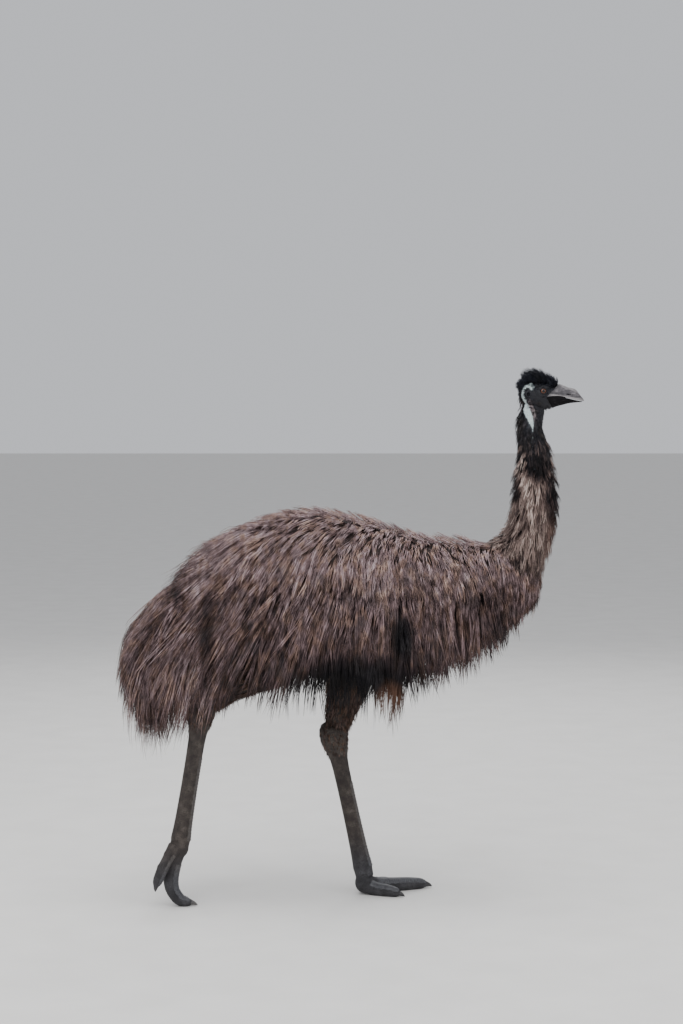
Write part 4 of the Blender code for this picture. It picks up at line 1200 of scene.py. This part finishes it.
def bodyLie(point):
    # parted along the back, falling down the sides, swept to the rear over the rump
    sweep = np.interp(point.x, (-0.5, -0.36, -0.2, -0.02, 0.12, 0.26, 0.42, 0.52),
                      (0.95, 0.78, 0.48, 0.2, 0.0, -0.16, -0.14, 0.2))
    sweep *= np.interp(point.z, (0.62, 0.92), (0.3, 1.0))
    high = limited((point.z - 0.98) / 0.1, 0.0)
    spread = float(np.interp(point.x, (-0.48, -0.36, -0.2), (-0.25, 0.05, 0.3))) + 0.45 * high
    if point.z < 0.88:
        besideLeg = -0.45 < point.x < 0.16 and abs(point.y) < 0.168
        spread = 0.42 if besideLeg else float(np.interp(abs(point.y), (0.1, 0.16, 0.2), (0.12, 0.0, -0.14)))
    return Vector((-sweep - 0.4 * high, spread * limited(point.y / 0.03), -1.0 + 0.35 * high))


def curtainLie(point):
    outward = 0.35 if abs(point.y) < 0.1 else 0.0
    return Vector((-0.16, outward * math.copysign(1, point.y), -1.0))


def bellyLie(point):
    return Vector((-0.35, 0, -1.0))


def spineLie(point):
    return Vector((-1.0, 0.06 * limited(point.y / 0.02), -0.12))


def neckLie(point):
    lean = np.interp(point.z, (0.95, 1.02, 1.08, 1.16, 1.3), (-0.3, -0.16, -0.05, 0.0, 0.03))
    return Vector((lean, 0, -1.0))


def tailLie(point):
    sweep = np.interp(point.z, (0.5, 0.6, 0.75, 0.9), (-0.2, -0.02, 0.28, 1.0))
    return Vector((-sweep, 0.12 * math.copysign(min(1.0, abs(point.y) / 0.03), point.y), -1.0))


plumageStops = [(0.0, 0.006, 0.005, 0.006), (0.22, 0.026, 0.018, 0.018), (0.45, 0.105, 0.067, 0.061),
                (0.68, 0.28, 0.19, 0.177), (1.0, 0.59, 0.458, 0.432)]
plumageLook = {
    "roughness": 0.68, "specular": 0.18, "tipDark": 0.6, "patchScale": 11.0, "toneWeight": 0.5,
    "swellWeight": 0.34, "patchWeight": 0.4, "brokenWeight": 1.05, "lift": 0.09, "paintedLightAndMarks": True,
}
hairLook = {
    "roughness": 0.6, "specular": 0.2, "tipDark": 0.2, "patchScale": 30.0, "toneWeight": 0.55,
    "swellWeight": 0.2, "patchWeight": 0.4, "brokenWeight": 0.2, "lift": 0.05, "paintedLightAndMarks": False,
}
strandBase = {
    "each": 6, "rings": [0.0, 0.42, 0.86], "taper": [0.75, 1.0, 0.75], "late": 0.12, "short": 0.45,
    "lockWidth": 0.0095, "gather": 0.85, "fray": 0.0026, "depth": 0.006, "curl": 0.0026, "roll": 0.7,
    "width": (0.0012, 0.0025), "ridge": 0.55, "toneJitter": 0.11, "unwrap": "X",
}
shortBase = dict(strandBase, rings=[0.0, 0.5], taper=[0.8, 1.0])
longBase = dict(strandBase, each=7, rings=[0.0, 0.28, 0.58, 0.88], taper=[0.7, 1.0, 0.85, 0.6],
                lockWidth=0.013, gather=1.15, fray=0.0065, curl=0.0065, width=(0.0011, 0.0024))


def evenReach(least, most):
    return lambda roots, rng: rng.uniform(least, most, len(roots))


def flankReach(roots, rng):
    low = easeBetween(turnOf(roots), 66, 98)
    drop = roots[:, 2] - np.interp(roots[:, 0], *hemLine.T)
    short, long = rng.random((2, len(roots)))
    return (0.066 + 0.045 * short) * (1 - low) + low * drop * (0.38 + 1.05 * long)


def rumpReach(roots, rng):
    low = easeBetween(roots[:, 2], 1.02, 0.8)
    return 0.1 + 0.1 * low + rng.random(len(roots)) * (0.13 + 0.15 * low)


def bellyReach(roots, rng):
    tuft = easeBetween(np.abs(roots[:, 0] - 0.125), 0.07, 0.02)
    return rng.uniform(0.07, 0.12, len(roots)) + 0.045 * tuft


def flank(side):
    # one flank, denser low down
    return lambda x, y, turn: ((turn >= 40) & (turn < 116) & (x > -0.31) & (side * y > 0)) \
        * (1 + 1.2 * easeBetween(turn, 72, 88))


def rump(side):
    return lambda x, y, turn: (turn < 116) & (x <= -0.27) & (side * y > 0)


bodyTiers = [  # name, locks, place, lie, length, rise, strands, seed
    ("coatSpine", 360, lambda x, y, turn: (turn < 11) & (x > -0.4), spineLie, evenReach(0.06, 0.095),
     (0.011, 0.017), strandBase, 10),
    ("coatBack", 1240, lambda x, y, turn: (turn < 45) & (x > -0.34), bodyLie, evenReach(0.06, 0.095),
     (0.011, 0.02), dict(strandBase, depth=0.004, lockWidth=0.011), 11),
    ("coatFlankL", 1780, flank(1), bodyLie, flankReach, (0.008, 0.03), strandBase, 12),
    ("coatFlankR", 1780, flank(-1), bodyLie, flankReach, (0.008, 0.03), strandBase, 13),
    ("coatBelly", 680, lambda x, y, turn: ((turn >= 112) & (x > -0.42))
     * (1 + 2.5 * easeBetween(np.abs(x - 0.125), 0.06, 0.03)), bellyLie, bellyReach, (0.004, 0.018),
     dict(shortBase, each=8, lockWidth=0.016), 14),
    ("coatRumpL", 860, rump(1), bodyLie, rumpReach, (0.012, 0.04), longBase, 15),
    ("coatRumpR", 860, rump(-1), bodyLie, rumpReach, (0.012, 0.04), longBase, 16),
    ("coatCurtain", 520, lambda x, y, turn: (turn > 62) & (x <= -0.35), curtainLie, evenReach(0.26, 0.44),
     (0.004, 0.026), longBase, 18),
]


def lockTones(roots, scale, seed, middle=0.5):
    # each lock's own shade, alike in neighbours
    rng = np.random.default_rng(seed + 100)
    values = middle + 0.44 * rng.uniform(-1, 1, len(roots)) + 0.35 * blurNoise(roots, scale, seed)
    return np.clip(values, 0, 1)


def makeBodyCoat():
    body, tail = bodyForms(0.0)
    table, tree = triangleTable(body), surfaceTree(body)
    finish = plumageFinish("emuPlumage", plumageStops, plumageLook)
    for name, count, place, lie, reachOf, rises, look, seed in bodyTiers:
        rng = np.random.default_rng(seed)
        roots = scatter(table, lambda p: place(p[:, 0], p[:, 1], turnOf(p)) * ~insideNeck(p), count, seed)
        x, turn = roots[:, 0], turnOf(roots)
        lift = rng.uniform(*rises, count)
        shoulder = easeBetween(x, 0.28, 0.36) * easeBetween(turn, 75, 40)
        lift += 0.016 * shoulder * easeBetween(x, 0.43, 0.39) * rng.random(count)
        lift *= 1 - 0.6 * easeBetween(x, 0.485, 0.525)
        lift *= 1 - 0.6 * easeBetween(x, 0.38, 0.43) * easeBetween(turn, 60, 45)
        hems = 0.04 * rng.random(count) ** 1.6 - 0.006
        paths, outs = layLocks(tree, roots, lie, reachOf(roots, rng), lift, 0.014, hems, 0.2)
        tones = lockTones(roots, 14, seed)
        finishCoat(growStrands(name, paths, outs, look, seed, tones), finish, "brown_plumage")
    name, count, seed = "coatTail", 930, 17
    rng = np.random.default_rng(seed)
    roots = scatter(triangleTable(tail), lambda p: easeBetween(p[:, 0], -0.44, -0.47), count, seed)
    reach, lift = rng.uniform(0.2, 0.44, count), rng.uniform(0.006, 0.034, count)
    hems = rng.uniform(-0.02, 0.06, count)
    paths, outs = layLocks(surfaceTree(tail), roots, tailLie, reach, lift, 0.012, hems, steps=12)
    tones = lockTones(roots, 14, seed, 0.55)
    finishCoat(growStrands(name, paths, outs, longBase, seed, tones), finish, "brown_plumage")
    bpy.data.objects.remove(body)
    bpy.data.objects.remove(tail)


def makeNeckCoat():
    core = limbThrough("neckForm", onMiddle(smoothRows(neckRows[:-1] + throatRows[1:4], 40)), 32)
    count, seed = 1520, 21
    rng = np.random.default_rng(seed)

    def weight(points):
        height = points[:, 2]
        inReach = (height > 0.965) & (height < 1.352) & ~insideBody(points)
        return inReach * np.interp(height, [1.26, 1.35], [1.0, 0.7])

    roots = scatter(triangleTable(core), weight, count, seed)
    height = roots[:, 2]
    reach = np.interp(height, [0.98, 1.04, 1.1, 1.24, 1.35], [0.14, 0.112, 0.09, 0.062, 0.045])
    reach *= rng.uniform(0.8, 1.25, count)
    behind = easeBetween(roots[:, 0], np.interp(height, [1.0, 1.1], [0.5, 0.51]), 0.46)
    reach *= 1 - 0.62 * behind * easeBetween(height, 1.15, 1.07)
    lift = np.interp(height, [0.98, 1.1, 1.24, 1.35], [0.024, 0.02, 0.019, 0.012])
    lift *= rng.uniform(0.35, 1.1, count)
    lift *= 1 - 0.75 * behind * easeBetween(height, 1.16, 1.08)
    paths, outs = layLocks(surfaceTree(core), roots, neckLie, reach, lift, 0.012, None, wander=0.2)
    look = dict(strandBase, lockWidth=0.008, width=(0.001, 0.0021), unwrap="Z", fray=0.0024, curl=0.0024)
    tones = lockTones(roots, 30, seed)
    finishCoat(growStrands("coatNeck", paths, outs, look, seed, tones), neckFinish(), "dark_neck_plumage")
    bpy.data.objects.remove(core)


def neckFinish():
    # a pale buff band up the side, black behind and in front of it
    finish = Finish("emuNeckPlumage", 0.66, 0.2)
    stops = [(0.0, 0.006, 0.005, 0.006), (0.3, 0.028, 0.02, 0.021), (0.5, 0.105, 0.071, 0.064),
             (0.75, 0.31, 0.225, 0.195), (1.0, 0.68, 0.55, 0.49)]
    tone = finish.attribute("tone")
    swell = finish.ease(finish.attribute("along"), 0.05, 0.6)
    patch = finish.mottle(26.0, 3.0)
    buff = finish.spots([(0.487, 1.268, 0.014, 0.034, 0.6), (0.503, 1.205, 0.014, 0.04, 0.6),
                         (0.522, 1.13, 0.018, 0.06, 0.7), (0.545, 1.05, 0.024, 0.06, 0.7)])
    black = finish.spots([(0.474, 1.19, 0.013, 0.034, 0.5), (0.59, 1.17, 0.024, 0.085, 0.6),
                          (0.545, 1.262, 0.03, 0.04, 0.6)])
    upper = finish.ease(finish.axis("Z"), 1.265, 1.315)
    value = tone * 0.6 + swell * 0.25 + (patch - 0.5) * 0.6
    value = value + 0.26 * buff - 0.42 * black - 0.2 * upper + 0.02
    colour = finish.ramp(finish.clamp(value), stops)
    colour = finish.blend(0.45 * upper, colour, (0.03, 0.029, 0.033))
    warm = finish.blob(0.585, 1.01, 0.02, 0.09, 0.7)
    colour = finish.blend(0.35 * warm, colour, (0.2, 0.095, 0.06))
    return finish.paint(colour, height=finish.mottle(900, 2.0), depth=0.0006, strength=0.5)


def nape(points):
    x, y, z = points.T
    edge = np.interp(z, [1.3, 1.4, 1.44, 1.475], [0.502, 0.5, 0.507, 0.5])
    middle = easeBetween(np.abs(y), 0.018, 0.012) + (z < 1.4)
    return easeBetween(x, edge + 0.01, edge) * middle.clip(0, 1)


def throatWeight(points):
    height = points[:, 2]
    dense = np.interp(height, [1.3, 1.37, 1.44], [1.3, 0.8, 0.5])
    dense += nape(points) * np.interp(height, [1.37, 1.42], [0.9, 2.2])
    dense *= 1 - 0.98 * paleness(points, 0.002)
    top = np.where(nape(points) > 0.5, 1.474, 1.455)
    return dense * ((height > 1.285) & (height < top) & (points[:, 0] < 0.588))


def makeThroatCoat(tree, table):
    # short dark hair-like feathers, sparse on the bare sides, loose on the nape
    count, seed = 1380, 31
    rng = np.random.default_rng(seed)
    roots = scatter(table, throatWeight, count, seed)
    height = roots[:, 2]
    behind = nape(roots)
    reach = np.interp(height, [1.3, 1.37, 1.44], [0.044, 0.028, 0.013]) * rng.uniform(0.7, 1.3, count)
    reach += behind * np.interp(height, [1.36, 1.42, 1.47], [0.016, 0.026, 0.02])
    lift = np.interp(height, [1.3, 1.37, 1.44], [0.009, 0.0045, 0.0012]) * rng.uniform(0.3, 1.2, count)
    loose = behind * np.interp(height, [1.34, 1.42, 1.47], [0.008, 0.014, 0.008])
    lift += loose * rng.uniform(0.2, 1.2, count)
    chin = easeBetween(roots[:, 0], 0.545, 0.555) * easeBetween(height, 1.41, 1.43)
    reach, lift = reach * (1 - 0.55 * chin), lift * (1 - 0.7 * chin)
    keep = (paleness(roots - np.outer(reach * 0.5, (0, 0, 1)), 0.001) < 0.4) | (rng.random(count) < 0.05)
    keep |= (behind > 0.5) & (np.abs(roots[:, 1]) < 0.014)
    roots, reach, lift = roots[keep], reach[keep], lift[keep]
    paths, outs = layLocks(tree, roots, neckLie, reach, lift, 0.002, None, wander=0.26, steps=6)
    look = dict(shortBase, each=7, lockWidth=0.0048, width=(0.0006, 0.0011), unwrap="Z", fray=0.0018,
                curl=0.0014, depth=0.001)
    stops = [(0.0, 0.006, 0.006, 0.008), (0.4, 0.02, 0.019, 0.022), (0.75, 0.062, 0.055, 0.056),
             (1.0, 0.15, 0.13, 0.125)]
    finish = plumageFinish("emuThroatHair", stops, dict(hairLook, lift=0.0))
    tones = lockTones(roots, 60, seed, 0.45)
    finishCoat(growStrands("coatThroat", paths, outs, look, seed, tones), finish, "dark_neck_plumage")


def ovalShare(points, x, z, across, tall):
    return np.sqrt(((points[:, 0] - x) / across) ** 2 + ((points[:, 2] - z) / tall) ** 2)


def paleness(points, grow=0.0):
    # how far a point is inside the bare pale skin
    z, x, half = np.array(paleBand).T
    away = np.abs(points[:, 0] - np.interp(points[:, 2], z, x))
    value = np.clip((np.interp(points[:, 2], z, half, left=-1, right=-1) + grow - away) / 0.002, 0, 1)
    for x, z, across, tall in paleSpots:
        far = ovalShare(points, x, z, across + grow, tall + grow)
        value = np.maximum(value, np.clip((1.1 - far) * 5, 0, 1))
    clear = np.clip((ovalShare(points, *darkEar) - 0.9) * 5, 0, 1)
    return value * clear * easeBetween(np.abs(points[:, 1]), 0.007, 0.012)


def headLie(point):
    # back over the crown, down and back on the cheeks
    return Vector((-1.0, 0.25 * math.copysign(1, point.y), -0.35 if point.z < 1.49 else 0.15))


def clearOfFace(points):
    # not on the eye, the ear, the bill or the corner of the mouth
    eye = ovalShare(points, eyeCentre.x, eyeCentre.z, 0.0125, 0.0105) > 1
    ear = ovalShare(points, earCentre.x, earCentre.z, 0.0055, 0.007) > 1
    ahead, above = points[:, 0] - gape.x, points[:, 2] - gape.z
    clearOfBill = (ahead * 0.788 + above * 0.615 < -0.001) | (points[:, 2] > gape.z)
    return eye & ear & clearOfBill & (ahead - above < -0.001) & (points[:, 2] > 1.432)


def cheekWeight(points):
    x, z = points[:, 0], points[:, 2]
    dense = np.interp(z, [1.48, 1.498], [0.5, 1.3]) + 1.2 * easeBetween(x, 0.509, 0.503)
    return dense * clearOfFace(points) * (1 - 0.985 * paleness(points, 0.001))


def crownWeight(points):
    x, z = points[:, 0], points[:, 2]
    top = ((z > 1.497) & (x < 0.597)) | ((x > 0.575) & (z > 1.488))
    return ((clearOfFace(points) & top) | ((x < 0.5) & (z > 1.482))) * (1 - 0.98 * paleness(points))


def crestPath(tree, root, length, steps):
    # a loose tuft on the crown: up at first, then over to the back and the side
    spot, out = tree.find_nearest(Vector(root))[:2]
    front = easeBetween(root[0], 0.555, 0.595)
    behind = float(easeBetween(root[0], 0.522, 0.5))
    way = Vector((-0.35 + 0.55 * front + 0.2 * behind, 0, 0.75 + 0.3 * behind))
    heading = (out * 0.8 + way + noise.noise_vector(spot * 60) * 0.6).normalized()
    point = spot - out * 0.002
    reach = length * (1 - 0.3 * front) * (1 - 0.5 * behind)
    line, ways = [], []
    for step in range(steps + 1):
        line.append(point)
        ways.append(heading.cross(leftWay if abs(heading.y) < 0.7 else upWay).normalized())
        point = point + heading * reach / steps
        heading = (heading + Vector((-0.13, 0.03 * math.copysign(1, root[1]), -0.05))).normalized()
    return line, ways


def makeHeadCoat(tree, table):
    count, seed = 1300, 41
    rng = np.random.default_rng(seed)
    roots = scatter(table, cheekWeight, count, seed)
    reach, lift = [np.interp(roots[:, 2], [1.45, 1.48, 1.505], sizes) * rng.uniform(least, 1.3, count)
                   for sizes, least in (([0.0065, 0.008, 0.018], 0.7), ([0.0007, 0.0012, 0.006], 0.3))]
    paths, outs = layLocks(tree, roots, headLie, reach, lift, 0.0015, None, wander=0.3, steps=5)
    fineHair = {"width": (0.0005, 0.0009), "unwrap": "Z"}
    look = dict(shortBase, each=5, lockWidth=0.0032, fray=0.0009, curl=0.0008, depth=0.0004, **fineHair)
    hairStops = [(0.0, 0.004, 0.005, 0.007), (0.5, 0.013, 0.014, 0.02), (1.0, 0.05, 0.053, 0.07)]
    finish = plumageFinish("emuHeadHair", hairStops, hairLook)
    finishCoat(growStrands("coatHead", paths, outs, look, seed), finish, "dark_head_plumage")
    count, seed = 620, 42
    rng = np.random.default_rng(seed)
    roots = scatter(table, crownWeight, count, seed)
    crest = np.array([crestPath(tree, root, rng.uniform(0.022, 0.045), 8) for root in roots])
    look = dict(strandBase, each=9, lockWidth=0.004, fray=0.0032, curl=0.0022, depth=0.003, **fineHair)
    finishCoat(growStrands("coatCrown", crest[:, 0], crest[:, 1], look, seed), finish, "dark_head_plumage")


def makeLegCoat(skinTree, skinTable):
    # close feathers over the drumsticks, and a fuzz that thins out below the hocks
    stops = [(0.0, 0.013, 0.008, 0.006), (0.35, 0.04, 0.024, 0.018), (0.6, 0.09, 0.055, 0.042),
             (1.0, 0.2, 0.135, 0.106)]
    finish = plumageFinish("emuThighFeathers", stops, dict(hairLook, patchWeight=0.5, patchScale=16.0))
    look = dict(shortBase, lockWidth=0.0065, width=(0.0009, 0.0018), fray=0.0016, curl=0.0014, depth=0.002)
    count, fuzzCount = 560, 260
    for side, seed in (("L", 51), ("R", 52)):
        knee, hock, toes = [Vector(legJoints[side][joint]) for joint in ("knee", "hock", "toes")]
        core = limb("thighForm", knee, hock, thighOf(side, 0.003, 20), 28)
        down, shin = (hock - knee).normalized(), (toes - hock).normalized()
        knee, hock = np.array(legJoints[side]["knee"]), np.array(legJoints[side]["hock"])
        length = math.dist(knee, hock)

        def share(points):
            return (points - knee) @ down / length

        def fuzzWeight(points):
            near = np.linalg.norm(points - hock, axis=1) < 0.085
            return near * easeBetween((points - hock) @ shin, 0.06, -0.01)

        rng = np.random.default_rng(seed)
        roots = scatter(triangleTable(core), lambda p: (share(p) > 0.3) & (share(p) < 0.96), count, seed)
        reach, lift = [rng.uniform(*limits, count) * np.interp(share(roots), [0.7, 0.93], [1.0, least])
                       for limits, least in (((0.03, 0.06), 0.55), ((0.001, 0.006), 0.5))]
        lie = down + Vector((-0.08, 0, -0.2 if side == "L" else 0.05))
        tree = surfaceTree(core)
        paths, outs = layLocks(tree, roots, lambda point: lie, reach, lift, 0.004, None, steps=6)
        fuzz = scatter(skinTable, fuzzWeight, fuzzCount, seed)
        reach = rng.uniform(0.016, 0.03, fuzzCount)
        reach *= 1 - 0.45 * easeBetween((fuzz - hock) @ shin, 0.0, 0.06)
        lift = rng.uniform(0.0004, 0.0018, fuzzCount)
        hang = shin + Vector((-0.06, 0, -0.1))
        more = layLocks(skinTree, fuzz, lambda point: hang, reach, lift, 0.002, None, steps=6)
        paths, outs = [np.concatenate(both) for both in zip((paths, outs), more)]
        finishCoat(growStrands("coatThigh" + side, paths, outs, look, seed), finish, "thigh_down")
        bpy.data.objects.remove(core)


# Floor, light and camera

stageSettings = {
    "camera": (-0.026, -6.2, 1.5), "pitch": 86.57, "lens": 75.16, "worldLight": 0.7,
    "lights": [  # name, place, size, power
        ("skyLight", (-0.3, -0.6, 5.0), 4.5, 225.0), ("keyLight", (-1.6, -4.2, 3.6), 3.5, 122.0),
        ("fillLight", (3.4, -2.6, 2.4), 3.0, 45.0), ("backLight", (0.4, 4.0, 3.6), 3.5, 80.0),
    ],
}


def makeStage():
    deselectAll()
    bpy.ops.mesh.primitive_plane_add(size=80, location=(0, 0, 0))
    floor = bpy.context.object
    floor.name = "studioFloor"
    finish = Finish("studioFloor", 0.85, 0.2)
    colour = finish.ramp(finish.mottle(6.0, 3.0), [(0.3, 0.66, 0.65, 0.63), (0.7, 0.7, 0.69, 0.67)])
    floor.data.materials.append(finish.paint(colour))
    for name, place, size, power in stageSettings["lights"]:
        bpy.ops.object.light_add(type="AREA", location=place)
        light = bpy.context.object
        light.name = name
        light.data.size = size
        light.data.energy = power
        light.rotation_euler = (Vector((0, 0, 0.9)) - Vector(place)).to_track_quat("-Z", "Y").to_euler()
    world = bpy.data.worlds.new("studio")
    world.use_nodes = True
    back = world.node_tree.nodes["Background"]
    back.inputs[0].default_value = (0.93, 0.95, 1.0, 1)
    back.inputs[1].default_value = stageSettings["worldLight"]
    bpy.context.scene.world = world
    bpy.ops.object.camera_add(location=stageSettings["camera"],
                              rotation=(math.radians(stageSettings["pitch"]), 0, 0))
    camera = bpy.context.object
    camera.data.sensor_fit = "VERTICAL"
    camera.data.sensor_height = 36
    camera.data.lens = stageSettings["lens"]
    bpy.context.scene.camera = camera


skin = makeSkin()
skinTable = triangleTable(skin)
skinTree = surfaceTree(skin)
makeBill()
makeEyes()
makeClaws()
makeScutes()
makeBodyCoat()
makeNeckCoat()
makeThroatCoat(skinTree, skinTable)
makeHeadCoat(skinTree, skinTable)
makeLegCoat(skinTree, skinTable)
makeStage()
